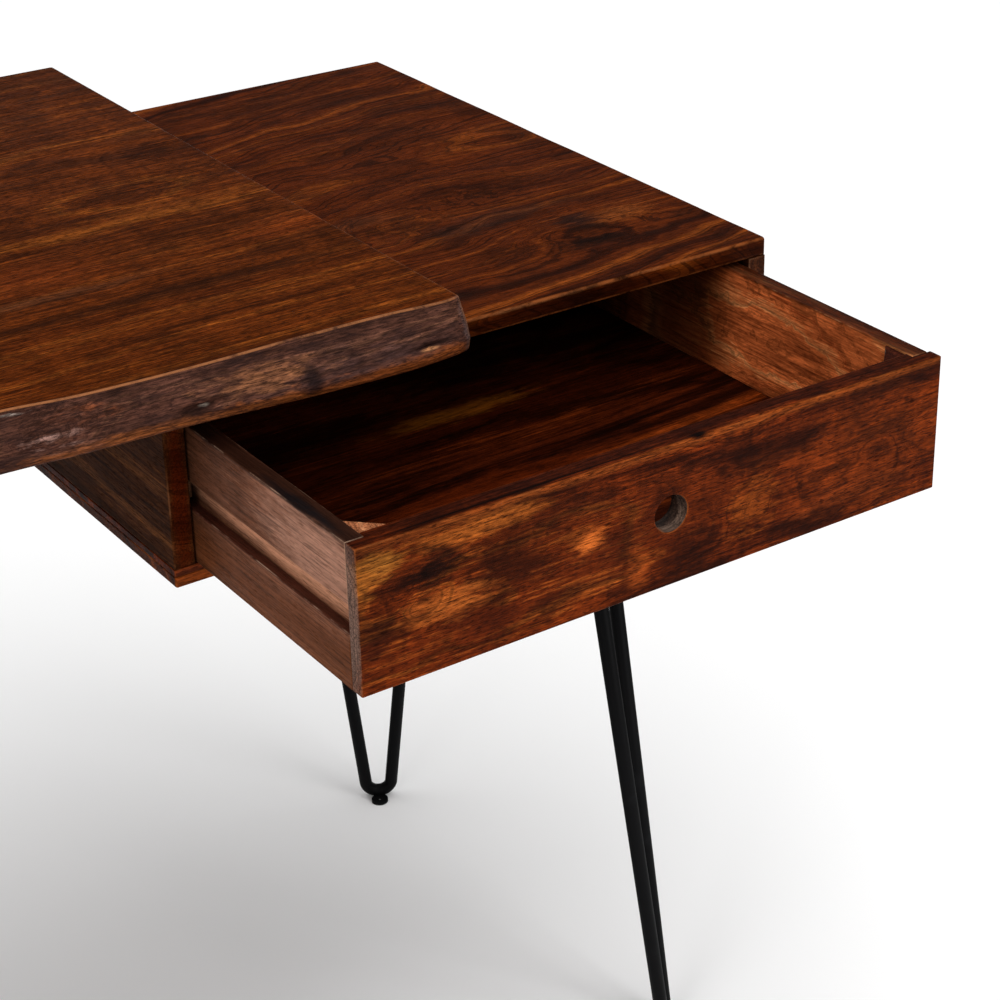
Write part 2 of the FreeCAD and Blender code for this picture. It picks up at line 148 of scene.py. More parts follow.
class Web:
    """Writes a material's node graph, one small step at a time."""

    def __init__(self, name: str) -> None:
        """Starts a material with one surface shader.

        Args:
            name: The material's name.
        """
        self.material = bpy.data.materials.new(name)
        self.material.use_nodes = True
        self.tree = self.material.node_tree
        self.shader = self.tree.nodes["Principled BSDF"]
        self.place = self.add("ShaderNodeTexCoord").outputs["Object"]

    def add(self, kind: str, **settings: Any) -> bpy.types.Node:
        """Adds one node and sets its properties.

        Args:
            kind: The node's type name.
            **settings: Properties of the node.

        Returns:
            The new node.
        """
        node = self.tree.nodes.new(kind)
        for key, value in settings.items():
            setattr(node, key, value)
        return node

    def feed(self, socket: bpy.types.NodeSocket, value: Feed) -> None:
        """Links a socket to an output, or sets its constant.

        Args:
            socket: The input to fill.
            value: An output socket, a number, or a colour or vector.
        """
        if isinstance(value, bpy.types.NodeSocket):
            self.tree.links.new(value, socket)
        elif isinstance(value, (int, float)):
            socket.default_value = float(value)
        else:
            wanted = len(socket.default_value)
            socket.default_value = tuple(value)[:3] + ((1.0,) if wanted == 4 else ())

    def math(self, step: str, first: Feed, second: Feed = 0.0,
             third: Feed = 0.0) -> bpy.types.NodeSocket:
        """One Math node.

        Args:
            step: The operation's name.
            first: First value.
            second: Second value.
            third: Third value.

        Returns:
            The result.
        """
        node = self.add("ShaderNodeMath", operation=step)
        for socket, value in zip(node.inputs, (first, second, third)):
            self.feed(socket, value)
        return node.outputs[0]

    def times(self, first: Feed, second: Feed) -> bpy.types.NodeSocket:
        """The product of two numbers."""
        return self.math("MULTIPLY", first, second)

    def scaled(self, value: Feed, factor: Feed, plus: Feed) -> bpy.types.NodeSocket:
        """A number times a factor, plus another."""
        return self.math("MULTIPLY_ADD", value, factor, plus)

    def swing(self, value: Feed, reach: float, about: Feed) -> bpy.types.NodeSocket:
        """A noise made to swing about a number."""
        return self.scaled(self.math("SUBTRACT", value, 0.5), reach, about)

    def vector(self, step: str, first: Feed, second: Feed = (0.0, 0.0, 0.0)) -> bpy.types.NodeSocket:
        """One Vector Math node.

        Args:
            step: The operation's name.
            first: First vector.
            second: Second vector.

        Returns:
            The result, which is a number for LENGTH.
        """
        node = self.add("ShaderNodeVectorMath", operation=step)
        self.feed(node.inputs[0], first)
        self.feed(node.inputs[1], second)
        return node.outputs["Value" if step == "LENGTH" else "Vector"]

    def turned(self, grain: Grain, offset: Triple = (0.0, 0.0, 0.0)) -> bpy.types.NodeSocket:
        """Object coordinates with the grain laid along x.

        Args:
            grain: The board's grain direction.
            offset: Where the pattern is moved to.

        Returns:
            The turned coordinates.
        """
        node = self.add("ShaderNodeMapping", vector_type="POINT")
        self.feed(node.inputs["Vector"], self.place)
        node.inputs["Rotation"].default_value = grain.value
        node.inputs["Location"].default_value = offset
        return node.outputs["Vector"]

    def noise(self, place: Feed, stretch: Triple, detail: float = 3.0, rough: float = 0.5,
              bend: float = 0.0, colour: bool = False) -> bpy.types.NodeSocket:
        """Noise on stretched coordinates.

        Args:
            place: The coordinates.
            stretch: Features per metre in each direction.
            detail: Octaves.
            rough: How strong the finer octaves are.
            bend: Distortion.
            colour: Whether to return three channels.

        Returns:
            The noise, about 0.5 on average.
        """
        node = self.add("ShaderNodeTexNoise", noise_dimensions="3D")
        self.feed(node.inputs["Vector"], self.vector("MULTIPLY", place, stretch))
        node.inputs["Scale"].default_value = 1.0
        node.inputs["Detail"].default_value = detail
        node.inputs["Roughness"].default_value = rough
        node.inputs["Distortion"].default_value = bend
        return node.outputs["Color" if colour else "Fac"]

    def curl(self, place: Feed, stretch: Triple, detail: float, rough: float,
             bend: float) -> bpy.types.NodeSocket:
        """A vector noise that wanders about zero.

        Args:
            place: The coordinates.
            stretch: Features per metre in each direction.
            detail: Octaves.
            rough: How strong the finer octaves are.
            bend: Distortion.

        Returns:
            The vector.
        """
        return self.vector("SUBTRACT", self.noise(place, stretch, detail, rough, bend, colour=True), HALF)

    def rings(self, count: Feed, scale: float, detail: float, rough: float = 0.6) -> bpy.types.NodeSocket:
        """Noise along one number, which makes uneven growth bands.

        Args:
            count: The ring number.
            scale: Bands per ring.
            detail: Octaves.
            rough: How strong the finer octaves are.

        Returns:
            The noise.
        """
        node = self.add("ShaderNodeTexNoise", noise_dimensions="1D")
        self.feed(node.inputs["W"], count)
        node.inputs["Scale"].default_value = scale
        node.inputs["Detail"].default_value = detail
        node.inputs["Roughness"].default_value = rough
        return node.outputs["Fac"]

    def step(self, value: Feed, low: float, high: float, start: float = 0.0,
             end: float = 1.0) -> bpy.types.NodeSocket:
        """A smooth step from one value to another.

        Args:
            value: The number that decides.
            low: Where the step starts.
            high: Where the step ends.
            start: The result before the step.
            end: The result after the step.

        Returns:
            The stepped value.
        """
        node = self.add("ShaderNodeMapRange", interpolation_type="SMOOTHSTEP")
        for socket, number in zip(node.inputs, (value, low, high, start, end)):
            self.feed(socket, number)
        return node.outputs["Result"]

    def blend(self, share: Feed, first: Feed, second: Feed, way: str = "MIX") -> bpy.types.NodeSocket:
        """Mixes two colours.

        Args:
            share: How much of the second colour.
            first: First colour.
            second: Second colour.
            way: The blend type.

        Returns:
            The mixed colour.
        """
        node = self.add("ShaderNodeMix", data_type="RGBA", blend_type=way)
        self.feed(node.inputs[0], share)
        self.feed(node.inputs[6], first)
        self.feed(node.inputs[7], second)
        return node.outputs[2]

    def dye(self, colour: Feed, by: Feed) -> bpy.types.NodeSocket:
        """Multiplies a colour by a number or another colour."""
        return self.blend(1.0, colour, by, "MULTIPLY")

    def ramp(self, value: Feed, stops: Sequence[tuple[float, Colour]]) -> bpy.types.NodeSocket:
        """A colour ramp.

        Args:
            value: The number that picks the colour.
            stops: Places and colours, in order.

        Returns:
            The colour.
        """
        node = self.add("ShaderNodeValToRGB")
        self.feed(node.inputs["Fac"], value)
        elements = node.color_ramp.elements
        while len(elements) < len(stops):
            elements.new(0.5)
        for element, (at, colour) in zip(elements, stops):
            element.position = at
            element.color = (*colour, 1.0)
        return node.outputs["Color"]

    def near(self, at: Triple, size: Triple, curl: Feed, stray: float) -> bpy.types.NodeSocket:
        """How far each point lies from a spot, in that spot's own sizes.

        Args:
            at: The spot's centre.
            size: Its reach in x, y and z.
            curl: A vector that ruffles its outline.
            stray: How much of it is used.

        Returns:
            The distance, 1 at the spot's rim.
        """
        gap = self.vector("DIVIDE", self.vector("SUBTRACT", self.place, at), size)
        ruffle = self.vector("MULTIPLY", curl, (stray,) * 3)
        return self.vector("LENGTH", self.vector("ADD", gap, ruffle))

    def attribute(self, name: str) -> bpy.types.NodeSocket:
        """A number stored on the mesh."""
        return self.add("ShaderNodeAttribute", attribute_name=name).outputs["Fac"]

    def relief(self, height: Feed, strength: float, depth: float) -> None:
        """Feeds a height to the shader's normal.

        Args:
            height: The height, from 0 to 1.
            strength: Bump strength.
            depth: Bump depth in metres.
        """
        bump = self.add("ShaderNodeBump")
        bump.inputs["Strength"].default_value = strength
        bump.inputs["Distance"].default_value = depth
        self.feed(bump.inputs["Height"], height)
        self.feed(self.shader.inputs["Normal"], bump.outputs["Normal"])

    def constant(self, **values: Feed) -> None:
        """Sets constants on the shader; underscores stand for spaces."""
        for key, value in values.items():
            self.feed(self.shader.inputs[key.replace("_", " ")], value)


@dataclass(frozen=True)
class Knot:
    """A knot: rings swirl round it, and its eye is dark.

    Attributes:
        at: Centre, in the desk's frame.
        size: How far the swirl reaches in x, y and z.
        lift: How many metres of ring field it adds.
        eye: How dark its middle is.
    """

    at: Triple
    size: Triple
    lift: float = 0.02
    eye: float = 0.8


@dataclass(frozen=True)
class Patch:
    """A local colour, such as sapwood, a dark cloud or a mineral streak; some are painted shade, painted
    light and painted sheen.

    Attributes:
        at: Centre, in the desk's frame.
        size: Reach in x, y and z.
        colour: Its middle colour.
        share: How strongly it covers.
        ragged: How ragged its rim is.
    """

    at: Triple
    size: Triple
    colour: Colour
    share: float = 0.8
    ragged: float = 0.9


@dataclass(frozen=True)
class WoodFinish:
    """Stained, oiled hardwood whose figure follows a leaning pith.

    Attributes:
        name: Material name.
        grain: Grain direction.
        dark: Latewood colour.
        mid: Body colour.
        light: Earlywood colour.
        cloud: Colour of the dark clouds.
        pith: The pith's place across the grain, in the turned frame.
        lean: How much the pith leans along the grain.
        ring: Width of a growth band.
        sway: How far the figure wanders.
        wander: How many times it wanders in a metre.
        clouds: Strength of the dark clouds.
        cloud_size: Cloud length and width.
        ripple: Strength of the light bars across the grain.
        lines: Strength of the fine growth lines.
        pores: Strength of the open pores.
        worn: Colour of rubbed edges.
        wear: Strength of the rubbed edges.
        worn_from: How patchy the rubbing is; lower is more even.
        streak: Strength of the straight fibres.
        bold: Strength of the broad growth bands.
        knots: The knots.
        patches: The local colours.
        rough: Surface roughness.
        gloss: Specular level.
        relief: Bump strength.
        seed: Moves the noise, so that boards differ.
    """

    name: str
    grain: Grain
    dark: Colour
    mid: Colour
    light: Colour
    cloud: Colour = tint(30, 13, 8)
    pith: tuple[float, float] = (0.03, 0.60)
    lean: tuple[float, float] = (0.02, 0.03)
    ring: float = 0.006
    sway: float = 0.012
    wander: Triple = (2.6, 11.0, 11.0)
    clouds: float = 0.8
    cloud_size: tuple[float, float] = (0.10, 0.035)
    ripple: float = 0.5
    lines: float = 0.45
    pores: float = 0.6
    worn: Colour = tint(150, 100, 66)
    wear: float = 0.45
    worn_from: float = 0.45
    streak: float = 1.0
    bold: float = 1.0
    knots: tuple[Knot, ...] = ()
    patches: tuple[Patch, ...] = ()
    rough: float = 0.46
    gloss: float = 0.02
    relief: float = 0.35
    seed: float = 1.0

    def figure(self, web: Web, spot: bpy.types.NodeSocket,
               seeded: bpy.types.NodeSocket) -> bpy.types.NodeSocket:
        """The ring number at each point, bent round the knots.

        Args:
            web: The material's graph.
            spot: Coordinates with the grain along x.
            seeded: The same coordinates, moved by the seed.

        Returns:
            The ring number.
        """
        sway = (0.0, 2.0 * self.sway, 2.0 * self.sway)
        drift = web.vector("MULTIPLY", web.curl(seeded, self.wander, 3.0, 0.55, 0.3), sway)
        parts = web.add("ShaderNodeSeparateXYZ")
        web.feed(parts.inputs[0], web.vector("ADD", spot, drift))
        away = []
        for index, (lean, pith) in enumerate(zip(self.lean, self.pith), start=1):
            centre = web.scaled(parts.outputs["X"], lean, pith)
            away.append(web.math("POWER", web.math("SUBTRACT", parts.outputs[index], centre), 2.0))
        reach = web.math("SQRT", web.math("ADD", *away))
        curl = web.curl(seeded, KNOT_CURLS, 3.0, 0.6, 0.8)
        for knot in self.knots:
            gap = web.near(knot.at, knot.size, curl, 0.7)
            fall = web.math("EXPONENT", web.times(web.math("POWER", gap, 2.0), -1.0))
            reach = web.scaled(fall, knot.lift, reach)
        return web.math("DIVIDE", reach, self.ring)

    def grown(self, web: Web, tone: Feed, fibre: Feed, late: Feed) -> bpy.types.NodeSocket:
        """The colour of the growth bands, with dark latewood and pale fibres.

        Args:
            web: The material's graph.
            tone: How pale the wood is, from 0 to 1.
            fibre: The straight fibres.
            late: The shade of the latewood.

        Returns:
            The colour.
        """
        stops = ((0.0, self.dark), (0.35, self.mid), (0.65, self.mid), (1.0, self.light))
        fibres = web.step(fibre, 0.30, 0.72, 1.0 - 0.34 * self.streak, 1.0 + 0.32 * self.streak)
        return web.dye(web.ramp(tone, stops), web.times(late, fibres))

    def clouded(self, web: Web, seeded: Feed, curl: Feed, tone: Feed, body: Feed) -> bpy.types.NodeSocket:
        """Adds the light bars across the grain, then the dark clouds.

        Args:
            web: The material's graph.
            seeded: The coordinates, moved by the seed.
            curl: A vector that ruffles outlines.
            tone: How pale the wood is.
            body: The colour so far.

        Returns:
            The colour.
        """
        bars = web.noise(seeded, BARS, 3.0, 0.6, 0.6)
        glow = web.noise(web.vector("ADD", seeded, GLOW_SHIFT), GLOWS, 3.0, 0.55, 0.8)
        shine = web.swing(glow, 2.2 * self.ripple, web.swing(bars, 0.9 * self.ripple, 1.0))
        along, across = self.cloud_size
        ruffle = web.vector("MULTIPLY", curl, (0.03, 0.012, 0.012))
        moved = web.vector("ADD", web.vector("ADD", seeded, CLOUD_SHIFT), ruffle)
        cloud = web.noise(moved, (1.0 / along, 1.0 / across, 1.0 / across), 4.0, 0.58, 0.4)
        cloudy = web.times(web.step(cloud, 0.47, 0.63), self.clouds)
        share = web.times(cloudy, web.step(tone, 0.0, 1.0, 1.0, 0.70))
        return web.blend(share, web.dye(body, shine), self.cloud)

    def patched(self, web: Web, seeded: Feed, curl: Feed, tone: Feed, late: Feed,
                body: Feed) -> bpy.types.NodeSocket:
        """Adds the local colours.

        Args:
            web: The material's graph.
            seeded: The coordinates, moved by the seed.
            curl: A vector that ruffles outlines.
            tone: How pale the wood is.
            late: The shade of the latewood.
            body: The colour so far.

        Returns:
            The colour.
        """
        feather = web.math("SUBTRACT", web.noise(seeded, FEATHERS, 4.0, 0.65), 0.5)
        for patch in self.patches:
            gap = web.near(patch.at, patch.size, curl, 1.5 * patch.ragged)
            edge = web.scaled(feather, 1.6 * patch.ragged, gap)
            share = web.times(web.step(edge, 0.30, 1.20, 1.0, 0.0), patch.share)
            hue = web.dye(patch.colour, web.scaled(tone, 0.7, 0.62))
            body = web.blend(share, body, web.dye(hue, late))
        return body

    def aged(self, web: Web, seeded: Feed, curl: Feed, pits: Feed, body: Feed) -> bpy.types.NodeSocket:
        """Adds the grit, the open pores, the knots' eyes and the rubbed edges.

        Args:
            web: The material's graph.
            seeded: The coordinates, moved by the seed.
            curl: A vector that ruffles outlines.
            pits: Where the pores are.
            body: The colour so far.

        Returns:
            The colour.
        """
        grit = web.step(web.noise(seeded, GRIT, 3.0, 0.7), 0.32, 0.68,
                        1.0 - 0.42 * self.pores, 1.0 + 0.38 * self.pores)
        body = web.blend(web.times(pits, 0.85 * self.pores), web.dye(body, grit), self.cloud)
        for knot in self.knots:
            eye = web.step(web.near(knot.at, knot.size, curl, 0.8), 0.12, 0.42, 1.0, 0.0)
            body = web.blend(web.times(eye, knot.eye), body, self.cloud)
        rubbed = web.step(web.noise(seeded, RUBS, 5.0, 0.7), self.worn_from, self.worn_from + 0.23)
        return web.blend(web.times(web.times(web.attribute(WORN), rubbed), self.wear), body, self.worn)

    def material(self) -> bpy.types.Material:
        """Builds the node graph.

        Returns:
            The finished material.
        """
        web = Web(self.name)
        seeded = web.turned(self.grain, tuple(self.seed * shift for shift in SEED_SHIFT))
        fibre = web.noise(seeded, FIBRES, 4.0, 0.72)
        count = web.scaled(fibre, 0.30 * self.streak, self.figure(web, web.turned(self.grain), seeded))
        bands = web.scaled(web.rings(count, 0.45, 2.0, 0.5), self.bold, 0.5 - 0.5 * self.bold)
        lines = web.rings(count, 2.6, 3.0, 0.7)
        tone = web.scaled(bands, 1.1, web.scaled(lines, 0.35, web.times(fibre, 0.45)))
        tone = web.step(tone, 0.62, 1.26)
        hair = web.step(web.noise(seeded, HAIRS, 2.0, 0.6), 0.50, 0.66, 1.0, 0.56)
        late = web.times(web.step(lines, 0.48, 0.64, 1.0, 1.0 - self.lines), hair)
        curl = web.curl(seeded, CURLS, 4.0, 0.62, 0.6)
        pits = web.step(web.noise(seeded, PORES, 1.0, 0.5), 0.56, 0.68)

        body = self.grown(web, tone, fibre, late)
        body = self.clouded(web, seeded, curl, tone, body)
        body = self.patched(web, seeded, curl, tone, late, body)
        body = self.aged(web, seeded, curl, pits, body)
        sheen = web.noise(seeded, SHEENS, 4.0, 0.6)
        web.feed(web.shader.inputs["Base Color"], body)
        web.feed(web.shader.inputs["Roughness"], web.scaled(pits, 0.2, web.swing(sheen, 0.30, self.rough)))
        height = web.scaled(pits, -0.9, web.scaled(fibre, 0.8, web.times(lines, 0.3)))
        web.relief(height, self.relief, WOOD_DEPTH)
        web.constant(Specular_IOR_Level=self.gloss)
        return web.material


@dataclass(frozen=True)
class SteelFinish:
    """Powder-coated or bright steel.

    Attributes:
        name: Material name.
        colour: Base colour.
        scuff: Colour of rubbed spots.
        metal: Metallic share.
        rough: Roughness.
        grit: Size of the surface texture, in features per metre.
        relief: Bump strength.
        gloss: Specular level.
    """

    name: str
    colour: Colour
    scuff: Colour
    metal: float = 0.0
    rough: float = 0.4
    grit: float = 900.0
    relief: float = 0.15
    gloss: float = 0.5

    def material(self) -> bpy.types.Material:
        """Builds the node graph.

        Returns:
            The finished material.
        """
        web = Web(self.name)
        grit = web.noise(web.place, (self.grit,) * 3, 2.0, 0.6)
        cloud = web.noise(web.place, (26.0,) * 3, 4.0, 0.65)
        body = web.blend(web.times(web.step(cloud, 0.55, 0.75), 0.35), self.colour, self.scuff)
        body = web.blend(web.times(web.attribute(WORN), 0.3), body, self.scuff)
        web.feed(web.shader.inputs["Base Color"], body)
        web.feed(web.shader.inputs["Roughness"], web.swing(cloud, 0.3, self.rough))
        web.relief(grit, self.relief, STEEL_DEPTH)
        web.constant(Metallic=self.metal, Specular_IOR_Level=self.gloss)
        return web.material


@dataclass(frozen=True)
class Piece:
    """What every finished piece needs to know.

    Attributes:
        name: Object name.
        body: The body that it rides on.
        slot: A material slot name; not used.
        nodes: The CAD nodes that it stands for.
    """

    name: str
    body: str
    slot: str
    nodes: tuple[str, ...]

    def finish(self, mesh: bmesh.types.BMesh, *finishes: Union[WoodFinish, SteelFinish]) -> bpy.types.Object:
        """Turns a bmesh into an object that rides and replaces its nodes.

        Args:
            mesh: The finished shape.
            *finishes: Its finishes, in the order of its faces' material numbers.

        Returns:
            The object.
        """
        bmesh.ops.recalc_face_normals(mesh, faces=mesh.faces)
        data = bpy.data.meshes.new(self.name)
        mesh.to_mesh(data)
        mesh.free()
        for finish in finishes:
            data.materials.append(wardrobe(finish))
        piece = bpy.data.objects.new(self.name, data)
        bpy.context.scene.collection.objects.link(piece)
        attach(piece, self.body)
        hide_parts(*self.nodes)
        _replaced.update(self.nodes)
        log.info("%s: %d faces", self.name, len(data.polygons))
        return piece


# The materials built so far, and the CAD nodes that new pieces stand for.
_made: dict[str, bpy.types.Material] = {}
_replaced: set[str] = set()


def wardrobe(finish: Union[WoodFinish, SteelFinish]) -> bpy.types.Material:
    """Gives a finish's material, and builds it once.

    Args:
        finish: The finish.

    Returns:
        Its material.
    """
    if finish.name not in _made:
        _made[finish.name] = finish.material()
    return _made[finish.name]


def verts_of(parts: Iterable[Any]) -> list[bmesh.types.BMVert]:
    """The vertices among an operator's results."""
    return [part for part in parts if isinstance(part, bmesh.types.BMVert)]


def edges_of(parts: Iterable[Any]) -> list[bmesh.types.BMEdge]:
    """The edges among an operator's results."""
    return [part for part in parts if isinstance(part, bmesh.types.BMEdge)]


def extruded(mesh: bmesh.types.BMesh, faces: Sequence[bmesh.types.BMFace], way: Vector) -> None:
    """Extrudes faces and moves the new ones.

    Args:
        mesh: The shape.
        faces: The faces.
        way: How far they move.
    """
    grown = bmesh.ops.extrude_face_region(mesh, geom=faces)["geom"]
    bmesh.ops.translate(mesh, vec=way, verts=verts_of(grown))


def settle(mesh: bmesh.types.BMesh) -> None:
    """Puts a shape's elements in a fixed order, so an operator gives the same result each run.

    Args:
        mesh: The shape.
    """
    mesh.verts.sort(key=lambda vert: round(vert.co.x, 5) * 1e4 + round(vert.co.y, 5) * 1e2
                    + round(vert.co.z, 5))
    mesh.verts.index_update()
    for parts in (mesh.edges, mesh.faces):
        parts.sort(key=lambda part: sum(vert.index for vert in part.verts) * 1e4
                   + min(vert.index for vert in part.verts))
        parts.index_update()


def mark_wear(mesh: bmesh.types.BMesh, rounded: Iterable[bmesh.types.BMFace]) -> None:
    """Marks the vertices that lie inside the rounded edges.

    Args:
        mesh: The shape.
        rounded: The faces that the bevels made.
    """
    layer = mesh.verts.layers.float.get(WORN) or mesh.verts.layers.float.new(WORN)
    soft = {face.index for face in rounded}
    for vert in mesh.verts:
        if vert.link_faces and all(face.index in soft for face in vert.link_faces):
            vert[layer] = 1.0


def soften(mesh: bmesh.types.BMesh, radius: float,
           keep: Optional[Callable[[bmesh.types.BMEdge], bool]] = None) -> None:
    """Rounds the sharp edges and marks them as worn.

    Args:
        mesh: The shape.
        radius: The rounding's width.
        keep: Says which sharp edges are rounded; all, when left out.
    """
    mesh.normal_update()
    sharp = [edge for edge in mesh.edges
             if len(edge.link_faces) == 2 and edge.is_convex
             and edge.calc_face_angle(0.0) > SHARP_ANGLE and (keep is None or keep(edge))]
    result = bmesh.ops.bevel(mesh, geom=sharp, offset=radius, offset_type="OFFSET", segments=3,
                             profile=0.5, affect="EDGES", material=-1, clamp_overlap=True)
    mesh.faces.index_update()
    mesh.normal_update()
    rounded = [face for face in result["faces"] if face.is_valid]
    for face in rounded:
        face.smooth = True
    mark_wear(mesh, rounded)


def board(low: Triple, high: Triple, radius: float = 0.0012, cuts: int = 0, wobble: float = 0.0,
          seed: float = 0.0, flush: Optional[float] = None) -> bmesh.types.BMesh:
    """A plain board with softened, slightly uneven edges.

    Args:
        low: Lowest corner.
        high: Highest corner.
        radius: Width of its rounded edges.
        cuts: Cuts along each edge, which the unevenness needs.
        wobble: How far the edges wander.
        seed: Moves the unevenness.
        flush: Height at which its edges along y stay sharp, to meet another board.

    Returns:
        The board's shape.
    """
    def free(edge: bmesh.types.BMEdge) -> bool:
        """Whether an edge stands clear of the neighbouring board."""
        start, end = (vert.co for vert in edge.verts)
        met = flush is not None and max(abs(start.z - flush), abs(end.z - flush)) < 0.0012
        return not met or abs(start.y - end.y) < abs(start.x - end.x)

    low, high = Vector(low), Vector(high)
    mesh = bmesh.new()
    bmesh.ops.create_cube(mesh, size=1.0)
    size = high - low
    bmesh.ops.scale(mesh, vec=size, verts=mesh.verts)
    bmesh.ops.translate(mesh, vec=(low + high) / 2, verts=mesh.verts)
    if cuts:
        longest = max(range(3), key=lambda axis: size[axis])
        runs = [edge for edge in mesh.edges
                if abs((edge.verts[0].co - edge.verts[1].co)[longest]) > size[longest] * 0.9]
        bmesh.ops.subdivide_edges(mesh, edges=runs, cuts=cuts, use_grid_fill=True)
        for vert in mesh.verts:
            shift = noise.noise_vector(vert.co * 14.0 + Vector((seed, seed, seed)))
            shift[longest] = 0.0
            for axis in range(3):
                inward = -1.0 if vert.co[axis] > (low + high)[axis] / 2 else 1.0
                vert.co[axis] += abs(shift[axis]) * inward * wobble
    soften(mesh, radius, keep=free)
    return mesh


def prism(outline: Sequence[tuple[float, float]], axis: Axis, start: float, end: float,
          radius: float = 0.0008) -> bmesh.types.BMesh:
    """A straight moulding: one face drawn from listed corners and extruded.

    Args:
        outline: The corners across the axis, in the order of the other two axes.
        axis: The direction of the extrusion.
        start: Where it starts.
        end: Where it ends.
        radius: Width of its rounded edges.

    Returns:
        The moulding's shape.
    """
    mesh = bmesh.new()
    others = [index for index in range(3) if index != axis.value]
    corners = []
    for first, second in outline:
        corner = Vector((0.0, 0.0, 0.0))
        corner[others[0]], corner[others[1]], corner[axis.value] = first, second, start
        corners.append(mesh.verts.new(corner))
    extruded(mesh, [mesh.faces.new(corners)], axis.vector * (end - start))
    bmesh.ops.recalc_face_normals(mesh, faces=mesh.faces)
    soften(mesh, radius)
    return mesh


def smooth_line(points: Sequence[tuple[float, float]], at: float) -> float:
    """Reads a smooth curve through points.

    Args:
        points: The points, in rising order.
        at: Where it is read.

    Returns:
        The curve's value there.
    """
    last = len(points) - 2
    index = next((i for i in range(last) if at < points[i + 1][0]), last)

    def slope(i: int) -> float:
        """The curve's slope at one point."""
        low, high = max(0, i - 1), min(len(points) - 1, i + 1)
        return (points[high][1] - points[low][1]) / (points[high][0] - points[low][0])

    (x0, y0), (x1, y1) = points[index], points[index + 1]
    span = x1 - x0
    t = min(1.0, max(0.0, (at - x0) / span))
    m0, m1 = slope(index) * span, slope(index + 1) * span
    return ((2 * t ** 3 - 3 * t ** 2 + 1) * y0 + (t ** 3 - 2 * t ** 2 + t) * m0
            + (3 * t ** 2 - 2 * t ** 3) * y1 + (t ** 3 - t ** 2) * m1)


@dataclass(frozen=True)
class Dent:
    """A pit or a bump in the live edge.

    Attributes:
        along: Place along the edge.
        height: Height above the slab's underside.
        length: Reach along the edge.
        width: Reach up and down.
        depth: Depth; negative stands out.
    """

    along: float
    height: float
    length: float
    width: float
    depth: float


# How far the live edge's belly, waves, ridges and fine bumps stand out, in metres.
BELLY_HEIGHT = 0.0012
WAVE_HEIGHT = 0.0014
RIDGE_HEIGHT = 0.0009
FINE_HEIGHT = 0.00022

# The squared distance, in a dent's own sizes, past which it isn't felt.
DENT_REACH = 9.0


